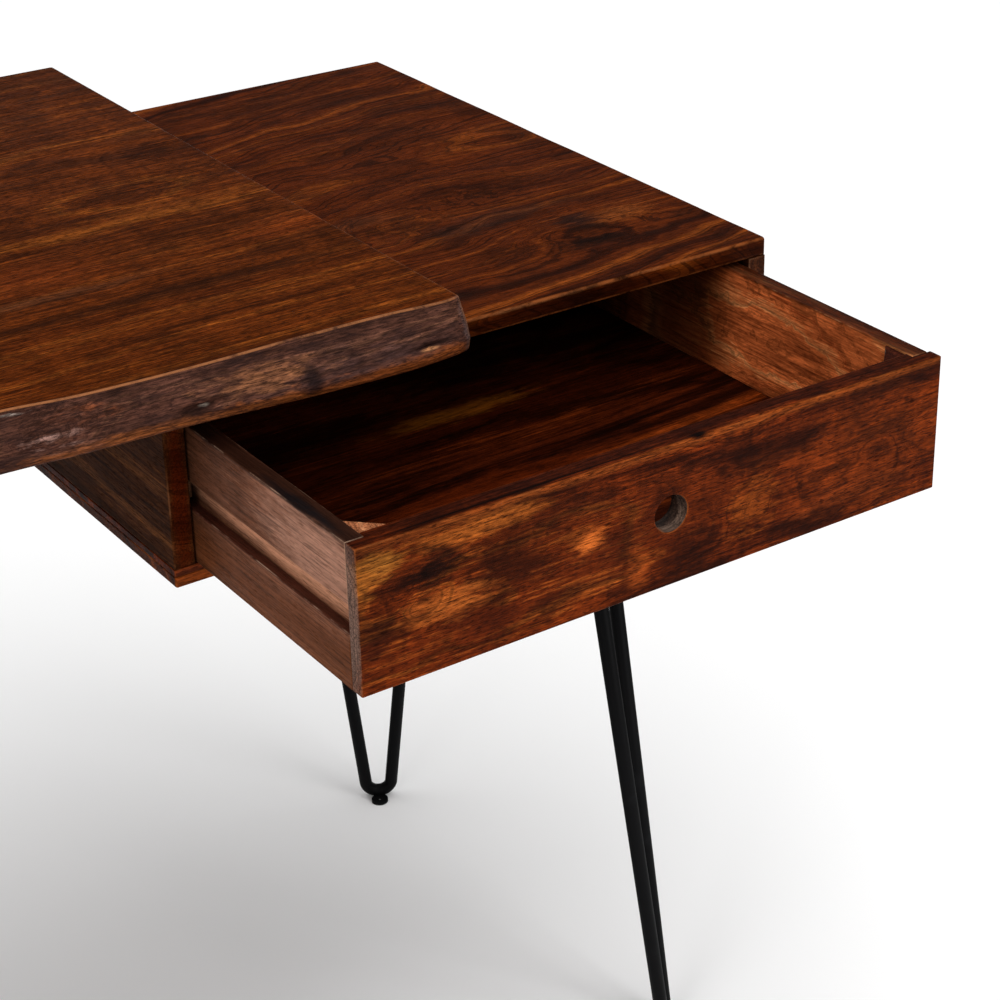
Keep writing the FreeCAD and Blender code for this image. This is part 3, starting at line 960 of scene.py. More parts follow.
@dataclass
class LiveEdgeSlab:
    """A thick slab with one live edge and three sawn ones.

    Attributes:
        piece: Its name, body, slot and node.
        finish: Its wood.
        bark: The wood of its live edge.
        lines: The edge's offsets, in millimetres, at its three levels.
        levels: The heights of those lines.
        run: The axis that the live edge follows.
        base: Where an offset of zero lies on the other axis.
        outward: Which way the live edge faces there, 1 or -1.
        back: Where the straight edge lies on that axis.
        dents: Pits and bumps.
        pitch: Spacing of the points along the edge.
        low_round: Rounding of its lower edge.
        top_round: Rounding of its upper edge.
        end_round: Rounding of its ends.
        back_round: Rounding of its straight edge.
        seed: Moves the unevenness.
        under: Height of its underside, read from its node.
    """

    piece: Piece
    finish: WoodFinish
    bark: WoodFinish
    lines: tuple[Sequence[tuple[float, float]], ...]
    run: Axis
    base: float
    outward: float
    back: float
    dents: tuple[Dent, ...] = ()
    levels: tuple[float, float, float] = (0.0, 0.009, 0.035)
    pitch: float = 0.003
    low_round: float = 0.0030
    top_round: float = 0.0012
    end_round: float = 0.0036
    back_round: float = 0.0014
    seed: float = 0.0
    under: float = field(init=False, default=0.0)

    def offset(self, along: float, height: float) -> float:
        """How far the live edge stands out.

        Args:
            along: Place along the edge.
            height: Height above the underside.

        Returns:
            The offset in metres.
        """
        low, mid, high = (smooth_line(line, along * 1000.0) / 1000.0 for line in self.lines)
        if height < self.levels[1]:
            share = height / self.levels[1]
            out = low + (mid - low) * share
        else:
            share = (height - self.levels[1]) / (self.levels[2] - self.levels[1])
            out = mid + (high - mid) * share
        belly = math.sin(math.pi * height / self.levels[2])
        wave = noise.noise(Vector((along * 13.0, height * 85.0, self.seed))) * WAVE_HEIGHT
        ridge = noise.noise(Vector((along * 34.0, height * 420.0, self.seed + 3.0))) * RIDGE_HEIGHT
        fine = noise.noise(Vector((along * 160.0, height * 900.0, self.seed + 7.0))) * FINE_HEIGHT
        out += belly * (BELLY_HEIGHT + wave - abs(ridge) + fine)
        for dent in self.dents:
            gap = (((along - dent.along) / dent.length) ** 2
                   + ((height - dent.height) / dent.width) ** 2)
            if gap < DENT_REACH:
                rough = 1.0 + 0.5 * noise.noise(Vector((along * 420.0, height * 700.0, 11.0)))
                out -= dent.depth * math.exp(-gap) * rough
        return out

    def rows(self) -> list[tuple[float, float]]:
        """Heights and set-backs from the underside round to the top."""
        low, high, top, count = self.low_round, self.top_round, self.levels[2], 20
        turn = [math.pi / 2 * step / 4 for step in range(5)]
        return ([(low * (1 - math.cos(angle)), low * (1 - math.sin(angle))) for angle in turn]
                + [(low + (top - low - high) * step / count, 0.0) for step in range(1, count)]
                + [(top - high * (1 - math.sin(angle)), high * (1 - math.cos(angle))) for angle in turn])

    def stations(self, low: float, high: float) -> list[tuple[float, float]]:
        """Places along the slab, with the set-back of its rounded ends.

        Args:
            low: Where the slab starts.
            high: Where it ends.

        Returns:
            Pairs of place and set-back.
        """
        soft = self.end_round
        turn = [math.pi / 2 * step / 5 for step in range(6)]
        ends = [(soft * (1 - math.cos(angle)), soft * (1 - math.sin(angle))) for angle in turn]
        count = int((high - low - 2 * soft) / self.pitch)
        middle = [(low + soft + (high - low - 2 * soft) * step / count, 0.0)
                  for step in range(1, count)]
        return ([(low + shift, back) for shift, back in ends] + middle
                + [(high - shift, back) for shift, back in reversed(ends)])

    def place(self, along: float, out: float, height: float) -> Vector:
        """Turns slab measures into the desk's frame."""
        spot = Vector((0.0, 0.0, self.under + height))
        spot[self.run.value] = along
        spot[1 - self.run.value] = self.base + self.outward * out
        return spot

    def build(self) -> bpy.types.Object:
        """Builds the slab.

        Returns:
            The slab's object.
        """
        low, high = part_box(self.piece.nodes[0])
        self.under = low.z
        thick = self.levels[2]
        stations = self.stations(low[self.run.value], high[self.run.value])
        rows = self.rows()
        mesh = bmesh.new()
        bmesh.ops.create_grid(mesh, x_segments=len(stations) - 1, y_segments=len(rows) - 1, size=0.5)
        layer = mesh.verts.layers.float.new(WORN)
        deep = abs(self.back - self.base)
        top, bottom, last = [], [], len(rows) - 1
        for vert in mesh.verts:
            column = round((vert.co.x + 0.5) * (len(stations) - 1))
            row = round((vert.co.y + 0.5) * last)
            (along, shrink), (height, inset) = stations[column], rows[row]
            out = self.offset(along, height) - inset - shrink
            level = thick / 2 + (height - thick / 2) * (1 - 2 * shrink / thick)
            vert.co = self.place(along, out, level)
            vert[layer] = 1.0 if last - 4 < row < last else 0.35 if 0.0 < shrink < 0.003 else 0.0
            if row == last:
                top.append((vert, along, shrink))
            elif row == 0:
                bottom.append((vert, along, shrink))
        wild = set(mesh.faces)
        for face in wild:
            face.smooth = True
        rims = []
        for ring, level in ((top, thick), (bottom, 0.0)):
            members = {vert for vert, _, _ in ring}
            shrinks = {round(along, 6): shrink for _, along, shrink in ring}
            edges = [edge for edge in mesh.edges if all(vert in members for vert in edge.verts)]
            grown = bmesh.ops.extrude_edge_only(mesh, edges=edges)["geom"]
            for vert in verts_of(grown):
                along = vert.co[self.run.value]
                shrink = shrinks[min(shrinks, key=lambda key: abs(key - along))]
                height = shrink if level == 0.0 else level - shrink
                vert.co = self.place(along, -deep + shrink, height)
                vert[layer] = 0.0
            rims += edges_of(grown)
        bmesh.ops.bridge_loops(mesh, edges=rims)
        bmesh.ops.holes_fill(mesh, edges=[edge for edge in mesh.edges if edge.is_boundary], sides=0)
        for face in mesh.faces:
            face.material_index = 1 if face in wild else 0
        bmesh.ops.recalc_face_normals(mesh, faces=mesh.faces)
        axis, limit = 1 - self.run.value, self.base - self.outward * (deep - 0.0005)

        def straight(edge: bmesh.types.BMEdge) -> bool:
            """Whether an edge runs along the slab's straight side."""
            start, end = (vert.co for vert in edge.verts)
            behind = all((spot[axis] - limit) * self.outward < 0.0 for spot in (start, end))
            return behind and abs((start - end)[self.run.value]) > self.top_round * 0.75

        soften(mesh, self.back_round, keep=straight)
        return self.piece.finish(mesh, self.finish, self.bark)


@dataclass
class Case:
    """The shallow drawer case, with a thin liner standing on its bottom board.

    Attributes:
        top: Wood of its top board.
        left: Wood of its left side.
        right: Wood of its right side.
        back: Wood of its back.
        bottom: Wood of its bottom board.
        liner: Wood of the liner.
    """

    top: WoodFinish
    left: WoodFinish
    right: WoodFinish
    back: WoodFinish
    bottom: WoodFinish
    liner: WoodFinish

    def build(self) -> None:
        """Builds the case's boards."""
        for node, slot, finish, radius, wobble in (
                ("case_top", "case_wood", self.top, 0.0024, 0.0005),
                ("case_left_side", "case_wood", self.left, 0.0011, 0.0003),
                ("case_right_side", "case_wood", self.right, 0.0011, 0.0003),
                ("case_back", "case_wood", self.back, 0.0009, 0.0),
                ("case_bottom", "case_wood", self.bottom, 0.0014, 0.0002),
                ("case_liner", "inner_wood", self.liner, 0.0008, 0.0)):
            low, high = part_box(node)
            flush = {"case_top": low.z, "case_left_side": high.z, "case_right_side": high.z}.get(node)
            shape = board(low, high, radius, 36 if wobble else 0, wobble, len(node) * 1.7, flush)
            Piece(f"{node}_board", "root", slot, (node,)).finish(shape, finish)


@dataclass
class Drawer:
    """The drawer: a rabbeted front with a finger hole, grooved sides, a back and blocks.

    Attributes:
        front: Wood of the front.
        left: Wood of the left side.
        right: Wood of the right side.
        back: Wood of the back.
        blocks: Wood of the left and right corner blocks.
        bore: Wood of the finger hole's wall.
        hole: Centre of the finger hole, in x and z.
        hole_radius: Its radius.
        rabbet: How deep the sides are let into the front.
        groove: Lowest and highest point of the runner groove.
        groove_depth: Its depth.
        panel: Lowest and highest point of the panel groove.
        panel_depth: Its depth.
    """

    front: WoodFinish
    left: WoodFinish
    right: WoodFinish
    back: WoodFinish
    blocks: tuple[WoodFinish, WoodFinish]
    bore: WoodFinish
    hole: tuple[float, float] = (0.600, 0.6633)
    hole_radius: float = 0.0125
    rabbet: float = 0.006
    groove: tuple[float, float] = (0.6513, 0.6703)
    groove_depth: float = 0.0065
    panel: tuple[float, float] = (0.6213, 0.6273)
    panel_depth: float = 0.005

    def build(self) -> None:
        """Builds the drawer's boards."""
        self.build_front()
        self.build_side("drawer_left_side", self.left, outer_is_low=True)
        self.build_side("drawer_right_side", self.right, outer_is_low=False)
        low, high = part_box("drawer_back")
        Piece("drawer_back_board", "drawer", "drawer_wood", ("drawer_back",)).finish(
            board(low, high, 0.0009, 24, 0.0002, 4.0), self.back)
        for side, finish in zip(("left", "right"), self.blocks):
            self.build_block(side, finish)

    def build_front(self) -> None:
        """Builds the front: a pierced plate, thickened between the sides."""
        low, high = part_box("drawer_front")
        inner_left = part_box("drawer_left_side")[1].x
        inner_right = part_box("drawer_right_side")[0].x
        shoulder = high.y - self.rabbet
        mesh = bmesh.new()
        lie = (Matrix.Translation((self.hole[0], low.y, self.hole[1]))
               @ Matrix.Rotation(math.pi / 2, 4, "X"))
        bmesh.ops.create_circle(mesh, cap_ends=False, segments=64, radius=self.hole_radius, matrix=lie)
        corners = [mesh.verts.new((x, low.y, z)) for x, z in
                   ((low.x, low.z), (high.x, low.z), (high.x, high.z), (low.x, high.z))]
        for index, corner in enumerate(corners):
            mesh.edges.new((corner, corners[(index + 1) % 4]))
        rim = [edge for edge in mesh.edges if all(vert in corners for vert in edge.verts)]
        bmesh.ops.subdivide_edges(mesh, edges=rim, cuts=11)
        bmesh.ops.triangle_fill(mesh, use_beauty=True, use_dissolve=False, edges=mesh.edges[:])
        extruded(mesh, mesh.faces[:], Vector((0.0, shoulder - low.y, 0.0)))
        for place in (inner_left, inner_right):
            bmesh.ops.bisect_plane(mesh, geom=mesh.verts[:] + mesh.edges[:] + mesh.faces[:],
                                   dist=1e-6, plane_co=(place, 0.0, 0.0), plane_no=(1.0, 0.0, 0.0))
        back = [face for face in mesh.faces
                if all(abs(vert.co.y - shoulder) < 1e-5 for vert in face.verts)
                and inner_left < face.calc_center_median().x < inner_right]
        extruded(mesh, back, Vector((0.0, self.rabbet, 0.0)))
        bmesh.ops.delete(mesh, geom=[face for face in back if face.is_valid],
                         context="FACES_KEEP_BOUNDARY")
        bmesh.ops.recalc_face_normals(mesh, faces=mesh.faces)
        settle(mesh)
        bmesh.ops.dissolve_limit(mesh, angle_limit=math.radians(0.5), verts=mesh.verts[:],
                                 edges=mesh.edges[:])
        soften(mesh, 0.0011)
        middle = Vector((self.hole[0], 0.0, self.hole[1]))
        for face in mesh.faces:
            if all((Vector((vert.co.x, 0.0, vert.co.z)) - middle).length < self.hole_radius + 0.0002
                   for vert in face.verts):
                face.material_index = 1
        Piece("drawer_front_board", "drawer", "drawer_front_wood", ("drawer_front",)).finish(
            mesh, self.front, self.bore)

    def build_side(self, node: str, finish: WoodFinish, outer_is_low: bool) -> None:
        """Builds a side as a moulding with its two grooves.

        Args:
            node: The side's node.
            finish: Its wood.
            outer_is_low: Whether its outer face has the lower x.
        """
        low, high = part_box(node)
        outer, inner = (low.x, high.x) if outer_is_low else (high.x, low.x)
        way = 1.0 if outer_is_low else -1.0
        deep, tongue = outer + way * self.groove_depth, inner - way * self.panel_depth
        outline = ((outer, low.z), (inner, low.z), (inner, self.panel[0]), (tongue, self.panel[0]),
                   (tongue, self.panel[1]), (inner, self.panel[1]), (inner, high.z), (outer, high.z),
                   (outer, self.groove[1]), (deep, self.groove[1]), (deep, self.groove[0]),
                   (outer, self.groove[0]))
        shape = prism(outline, Axis.Y, low.y, high.y, 0.0007)
        Piece(f"{node}_board", "drawer", "drawer_wood", (node,)).finish(shape, finish)

    def build_block(self, side: str, finish: WoodFinish) -> None:
        """Builds a triangular corner block.

        Args:
            side: left or right.
            finish: Its wood.
        """
        node = f"drawer_{side}_corner_block"
        low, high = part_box(node)
        corner = (low.x, low.y) if side == "left" else (high.x, low.y)
        other = (high.x, low.y) if side == "left" else (low.x, low.y)
        outline = (corner, other, (corner[0], high.y))
        Piece(f"{node}_wedge", "drawer", "runner_wood", (node,)).finish(
            prism(outline, Axis.Z, low.z, high.z, 0.0006), finish)


@dataclass
class HairpinLeg:
    """One bent rod with weld beads where it meets its plate.

    Attributes:
        name: The leg's name.
        centre: The plate's centre in x and y.
        out: The way that the leg leans.
        finish: Its finish.
        lean: Lean outwards.
        flare: Half the angle between its two rods.
        bend: Radius of its bend.
        rod: Radius of its rod.
        sunk: How far the rod's ends go into the plate.
        weld: Radius of the weld bead.
        weld_gap: How far the bead's middle lies outside the rod and below the plate.
        ripple: Height of the ripples in the bead.
    """

    name: str
    centre: tuple[float, float]
    out: tuple[float, float]
    finish: SteelFinish
    lean: float = math.radians(6.65)
    flare: float = math.radians(5.5)
    bend: float = 0.0125
    rod: float = 0.006
    sunk: float = 0.0015
    weld: float = 0.0019
    weld_gap: float = 0.0006
    ripple: float = 0.0003

    def build(self) -> bpy.types.Object:
        """Sweeps a circle down one rod, round the bend and up the other.

        Returns:
            The rod's object.
        """
        plate_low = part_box(f"{self.name}_plate")[0].z
        out = Vector((*self.out, 0.0)).normalized()
        across = Vector((-out.y, out.x, 0.0))
        down = out * math.sin(self.lean) - Vector((0.0, 0.0, math.cos(self.lean)))
        drop = (plate_low - self.rod) / math.cos(self.lean)
        low_point = Vector((*self.centre, plate_low)) + down * drop
        middle = low_point - down * self.bend
        side = across * math.cos(self.flare) + down * math.sin(self.flare)
        rise = across * math.sin(self.flare) - down * math.cos(self.flare)
        start = middle + side * self.bend
        length = (plate_low + self.sunk - start.z) / rise.z
        mesh = bmesh.new()
        lie = (Matrix.Translation(start + rise * length)
               @ rise.to_track_quat("Z", "Y").to_matrix().to_4x4())
        bmesh.ops.create_circle(mesh, cap_ends=False, segments=28, radius=self.rod, matrix=lie)
        ring = self.extend(mesh, mesh.edges[:], -rise * length)
        axis = side.cross(-rise).normalized()
        corners = list({vert for edge in ring for vert in edge.verts})
        spun = bmesh.ops.spin(mesh, geom=ring + corners, cent=middle, axis=axis,
                              angle=math.pi - 2 * self.flare, steps=30, use_merge=False,
                              use_duplicate=False)
        ring = edges_of(spun["geom_last"])
        other = -across * math.sin(self.flare) - down * math.cos(self.flare)
        self.extend(mesh, ring, other * length)
        bmesh.ops.remove_doubles(mesh, verts=mesh.verts, dist=1e-6)
        bmesh.ops.holes_fill(mesh, edges=[edge for edge in mesh.edges if edge.is_boundary], sides=0)
        mesh.verts.layers.float.new(WORN)
        for sign in (1.0, -1.0):
            top = middle + across * sign * (math.cos(self.flare) * self.bend
                                            + math.sin(self.flare) * length)
            top += down * (math.sin(self.flare) * self.bend - math.cos(self.flare) * length)
            self.bead(mesh, Vector((top.x, top.y, plate_low - self.weld_gap)))
        for face in mesh.faces:
            face.smooth = True
        piece = Piece(f"{self.name}_hairpin", "root", "black_steel", (f"{self.name}_rod",))
        return piece.finish(mesh, self.finish)

    def extend(self, mesh: bmesh.types.BMesh, ring: Sequence[bmesh.types.BMEdge],
               way: Vector) -> list[bmesh.types.BMEdge]:
        """Extrudes a ring of edges and moves it.

        Args:
            mesh: The shape.
            ring: The ring's edges.
            way: How far it moves.

        Returns:
            The new ring's edges.
        """
        grown = bmesh.ops.extrude_edge_only(mesh, edges=ring)["geom"]
        bmesh.ops.translate(mesh, vec=way, verts=verts_of(grown))
        return edges_of(grown)

    def bead(self, mesh: bmesh.types.BMesh, at: Vector) -> None:
        """Spins a weld bead round a rod's end.

        Args:
            mesh: The shape.
            at: The bead's centre.
        """
        lie = (Matrix.Translation(at + Vector((self.rod + self.weld_gap, 0.0, 0.0)))
               @ Matrix.Rotation(math.pi / 2, 4, "X"))
        made = bmesh.ops.create_circle(mesh, cap_ends=False, segments=8, radius=self.weld, matrix=lie)
        edges = list({edge for vert in made["verts"] for edge in vert.link_edges})
        bmesh.ops.spin(mesh, geom=made["verts"] + edges, cent=at, axis=(0.0, 0.0, 1.0),
                       angle=2 * math.pi, steps=26, use_merge=True, use_duplicate=False)
        for vert in mesh.verts:
            if (vert.co - at).length < self.rod + 0.003 and vert.co.z > at.z - 0.0035:
                swirl = math.atan2(vert.co.y - at.y, vert.co.x - at.x)
                if abs((vert.co - at).xy.length - self.rod) > 0.0004:
                    vert.co.z += self.ripple * math.sin(swirl * 9.0)


@dataclass
class Studio:
    """A pale floor, soft lights and the camera.

    Attributes:
        half_floor: Half the floor's width.
        sky: Strength of the sky's light.
        sun: Strength of the ceiling's light.
        eye: The camera's place.
        heading: How far the camera is turned to the right of the y axis.
        pitch: How far it looks down.
        roll: How far it is tipped.
        lens: Its focal length in millimetres, on a frame 36 mm wide.
        shift: How far the lens is shifted across and up, in frame widths.
    """

    half_floor: float = 20.0
    sky: float = 0.30
    sun: float = 2.5
    eye: Triple = (-0.20247, -1.18593, 1.34621)
    heading: float = math.radians(36.624)
    pitch: float = math.radians(26.27)
    roll: float = math.radians(0.062)
    lens: float = 85.96
    shift: tuple[float, float] = (-0.1146, -0.0478)

    def floor(self) -> None:
        """Lays the floor."""
        mesh = bmesh.new()
        bmesh.ops.create_grid(mesh, x_segments=4, y_segments=4, size=self.half_floor)
        data = bpy.data.meshes.new("floor")
        mesh.to_mesh(data)
        mesh.free()
        web = Web("floor_paper")
        cloud = web.noise(web.place, (0.6, 0.6, 0.6), 2.0, 0.5)
        paper = web.ramp(cloud, ((0.3, (0.93,) * 3), (0.7, (0.945,) * 3)))
        web.feed(web.shader.inputs["Base Color"], paper)
        web.constant(Roughness=0.9, Specular_IOR_Level=0.1)
        data.materials.append(web.material)
        floor = bpy.data.objects.new("floor", data)
        bpy.context.scene.collection.objects.link(floor)

    def light(self, name: str, at: Triple, aim: Triple, size: tuple[float, float],
              power: float) -> None:
        """Hangs one soft box.

        Args:
            name: The light's name.
            at: Its place.
            aim: What it faces.
            size: Its width and height.
            power: Its power in watts.
        """
        lamp = bpy.data.lights.new(name, "AREA")
        lamp.shape = "RECTANGLE"
        lamp.size, lamp.size_y = size
        lamp.energy = power
        holder = bpy.data.objects.new(name, lamp)
        holder.matrix_world = (Matrix.Translation(at)
                               @ (Vector(aim) - Vector(at)).to_track_quat("-Z", "Y").to_matrix().to_4x4())
        bpy.context.scene.collection.objects.link(holder)

    def lights(self) -> None:
        """Hangs the lights and sets the sky."""
        sun = bpy.data.lights.new("ceiling", "SUN")
        sun.energy, sun.angle = self.sun, math.radians(70)
        ceiling = bpy.data.objects.new("ceiling", sun)
        ceiling.matrix_world = (Matrix.Rotation(math.radians(14), 4, "X")
                                @ Matrix.Rotation(math.radians(-10), 4, "Y"))
        bpy.context.scene.collection.objects.link(ceiling)
        self.light("front_box", (1.7, -2.8, 1.9), (0.5, 0.0, 0.65), (1.6, 1.4), 44.0)
        self.light("left_box", (-2.4, -1.4, 1.9), (0.3, 0.1, 0.6), (1.4, 1.8), 30.0)
        world = bpy.data.worlds.new("studio")
        world.use_nodes = True
        ground = world.node_tree.nodes["Background"]
        ground.inputs["Color"].default_value = (*WHITE, 1.0)
        ground.inputs["Strength"].default_value = self.sky
        bpy.context.scene.world = world
        bpy.context.scene.view_settings.view_transform = "Standard"

    def camera(self) -> None:
        """Sets up the camera."""
        lens = bpy.data.cameras.new("camera")
        lens.sensor_width, lens.lens = 36.0, self.lens
        lens.shift_x, lens.shift_y = self.shift
        lens.clip_end = 60.0
        holder = bpy.data.objects.new("camera", lens)
        holder.matrix_world = (Matrix.Translation(self.eye)
                               @ Matrix.Rotation(-self.heading, 4, "Z")
                               @ Matrix.Rotation(math.pi / 2 - self.pitch, 4, "X")
                               @ Matrix.Rotation(self.roll, 4, "Z"))
        bpy.context.scene.collection.objects.link(holder)
        bpy.context.scene.camera = holder

    def build(self) -> None:
        """Builds the studio."""
        self.floor()
        self.lights()
        self.camera()


MAIN_LINES = (
    ((-840, 6), (-700, 12), (-560, 4), (-420, -4), (-290, 6), (-150, 13), (-20, 5), (110, -6), (244, -3),
     (300, 1), (368, 4), (433, 10), (503, 14), (545, 11), (559, 7)),
    ((-840, 9), (-700, 15), (-560, 8), (-420, 0), (-290, 9), (-150, 16), (-20, 8), (110, -2), (244, 0),
     (300, 4), (368, 7), (433, 13), (503, 16), (545, 13), (559, 9)),
    ((-840, -8), (-700, -3), (-560, -10), (-420, -18), (-290, -9), (-150, -3), (-20, -8), (110, -17),
     (244, -15), (300, -7), (368, -4), (433, -5), (503, -4), (545, 0), (559, -3)),
)
RETURN_LINES = (
    ((-610, 2), (-500, 10), (-390, 16), (-270, 6), (-150, -6), (-20, 0), (140, 9), (300, 3), (460, -5),
     (610, 2)),
    ((-610, 5), (-500, 14), (-390, 19), (-270, 10), (-150, -2), (-20, 3), (140, 12), (300, 7), (460, -1),
     (610, 5)),
    ((-610, -11), (-500, -4), (-390, 1), (-270, -8), (-150, -18), (-20, -13), (140, -4), (300, -10),
     (460, -17), (610, -10)),
)

# Near black for a dark spot, a seam and a nick; on the live edge it is painted shade in the pits.
INK_AND_PIT_SHADE = tint(26, 13, 10)
# Greyish purple: partly the live edge's own tone, partly painted sheen.
SLATE_AND_SHEEN = tint(84, 62, 58)
HONEY = tint(160, 96, 54)
SAPWOOD = tint(176, 120, 56)

MAIN_TOP_WOOD = WoodFinish(
    name="main_top_walnut_stain", grain=Grain.ALONG_X, dark=tint(76, 36, 12), mid=tint(110, 58, 21),
    light=tint(148, 88, 37), cloud=tint(54, 28, 11), pith=(0.30, 0.46), lean=(0.06, 0.02),
    ring=0.0050, sway=0.016, wander=(4.0, 9.0, 9.0), clouds=0.55, cloud_size=(0.13, 0.018),
    ripple=0.65, pores=0.95, worn=tint(172, 116, 76), wear=0.6, worn_from=0.34, streak=1.2,
    bold=0.6, gloss=0.012, relief=0.4, seed=2.0,
    knots=(
        Knot((0.4660, 0.300, 0.763), (0.055, 0.022, 0.05), 0.022, 0.2),
        Knot((-0.43, 0.22, 0.763), (0.075, 0.045, 0.05), 0.035, 0.7),
        Knot((-0.12, 0.42, 0.763), (0.06, 0.03, 0.05), 0.025, 0.4)),
    patches=(
        Patch((0.4465, 0.250, 0.763), (0.10, 0.009, 0.004), tint(146, 88, 36), 0.55, 1.2),
        Patch((0.5140, 0.262, 0.763), (0.10, 0.008, 0.004), tint(136, 82, 36), 0.4, 1.2),
        Patch((0.5430, 0.178, 0.763), (0.07, 0.020, 0.004), tint(136, 70, 30), 0.5),
        Patch((0.3470, 0.192, 0.763), (0.07, 0.030, 0.004), tint(136, 70, 30), 0.5),
        Patch((0.4200, 0.118, 0.763), (0.15, 0.007, 0.004), tint(62, 34, 18), 0.6),
        Patch((0.3480, 0.152, 0.763), (0.08, 0.009, 0.004), tint(98, 66, 46), 0.5)))

# The live edge's greyish colours and greyish patches are partly its own tone and partly painted sheen.
MAIN_EDGE_WOOD = WoodFinish(
    name="main_live_edge", grain=Grain.ALONG_X, dark=tint(72, 44, 34), mid=tint(94, 64, 53),
    light=tint(136, 98, 78), cloud=tint(56, 40, 38), pith=(0.02, 0.700), lean=(0.0, 0.02),
    ring=0.0050, sway=0.008, wander=(9.0, 30.0, 30.0), clouds=0.75, cloud_size=(0.055, 0.008),
    ripple=0.6, lines=0.5, bold=0.8, pores=0.8, worn=tint(178, 124, 84), wear=0.62, worn_from=0.32,
    rough=0.5, relief=0.6, seed=3.0,
    knots=(
        Knot((0.2752, -0.012, 0.7440), (0.030, 0.03, 0.010), 0.034, 0.85),
        Knot((-0.22, -0.012, 0.7460), (0.030, 0.03, 0.010), 0.030, 0.7)),
    patches=(
        Patch((0.46, -0.02, 0.748), (0.12, 0.017, 0.018), SLATE_AND_SHEEN, 0.92),
        Patch((0.33, -0.02, 0.752), (0.07, 0.017, 0.016), tint(84, 60, 54), 0.9),
        Patch((0.15, -0.02, 0.748), (0.20, 0.020, 0.017), tint(84, 60, 52), 0.85),
        Patch((-0.30, -0.02, 0.748), (0.30, 0.024, 0.016), SLATE_AND_SHEEN, 0.65),
        Patch((-0.70, -0.02, 0.748), (0.14, 0.024, 0.016), tint(84, 58, 50), 0.65),
        Patch((0.4140, -0.012, 0.7500), (0.042, 0.016, 0.010), tint(152, 106, 76), 0.8, 1.3),
        Patch((0.2924, -0.012, 0.7530), (0.034, 0.016, 0.010), tint(138, 84, 56), 0.8, 1.3),
        Patch((0.50, -0.016, 0.7310), (0.15, 0.014, 0.0080), HONEY, 0.9),
        Patch((0.32, -0.012, 0.7310), (0.14, 0.014, 0.0070), tint(168, 106, 62), 0.85),
        Patch((0.10, -0.012, 0.7310), (0.16, 0.012, 0.0045), tint(168, 98, 52), 0.75),
        Patch((-0.40, -0.012, 0.7310), (0.32, 0.012, 0.0045), tint(168, 98, 52), 0.7),
        Patch((0.5560, -0.008, 0.745), (0.004, 0.020, 0.030), tint(104, 88, 86), 0.6),
        Patch((0.559, 0.30, 0.745), (0.0015, 0.40, 0.05), tint(84, 60, 50), 0.6),
        Patch((0.4404, -0.012, 0.7420), (0.008, 0.016, 0.012), tint(40, 32, 34)),
        # Pale marks below and dark marks round three pits in the edge: painted highlight and painted shade.
        Patch((0.5247, -0.012, 0.7396), (0.008, 0.016, 0.0011), tint(190, 140, 100), 0.75, 0.3),
        Patch((0.5247, -0.012, 0.7420), (0.018, 0.016, 0.0020), INK_AND_PIT_SHADE, 0.7),
        Patch((0.3700, -0.010, 0.7410), (0.0040, 0.016, 0.0014), tint(196, 180, 166), 0.95, 0.3),
        Patch((0.3640, -0.010, 0.7405), (0.020, 0.016, 0.0040), INK_AND_PIT_SHADE, 0.75),
        Patch((0.2560, -0.004, 0.7592), (0.020, 0.016, 0.0018), tint(216, 204, 194), 1.0, 0.8),
        Patch((0.2640, -0.004, 0.7570), (0.026, 0.016, 0.0022), INK_AND_PIT_SHADE, 0.85),
        Patch((0.2752, -0.012, 0.7440), (0.022, 0.016, 0.0050), tint(166, 134, 124), 0.85, 1.6)))

RETURN_TOP_WOOD = replace(
    MAIN_TOP_WOOD,
    name="return_top_walnut_stain", grain=Grain.ALONG_Y, pith=(-0.52, 0.40), seed=5.0,
    knots=(
        Knot((-0.60, -0.22, 0.728), (0.04, 0.075, 0.05), 0.030, 0.7),
        Knot((-0.72, 0.30, 0.728), (0.03, 0.05, 0.05), 0.028, 0.5)),
    patches=(
        Patch((-0.50, -0.35, 0.728), (0.016, 0.14, 0.004), tint(150, 92, 40), 0.5, 1.2),
        Patch((-0.70, 0.20, 0.728), (0.020, 0.16, 0.004), tint(140, 84, 38), 0.45, 1.2)))

# Keeps the main live edge's greyish colours, which are partly painted sheen.
RETURN_EDGE_WOOD = replace(
    MAIN_EDGE_WOOD,
    name="return_live_edge", grain=Grain.ALONG_Y, pith=(-0.36, 0.665), wear=0.75, worn_from=0.30,
    relief=0.5, seed=6.0,
    knots=(Knot((-0.344, 0.18, 0.712), (0.03, 0.032, 0.010), 0.030),),
    patches=(
        Patch((-0.345, -0.16, 0.714), (0.022, 0.05, 0.009), tint(152, 90, 52), 0.85),
        Patch((-0.345, 0.36, 0.718), (0.022, 0.06, 0.008), tint(146, 82, 46)),
        Patch((-0.345, 0.0, 0.6965), (0.012, 0.66, 0.0050), tint(168, 98, 52), 0.75)))

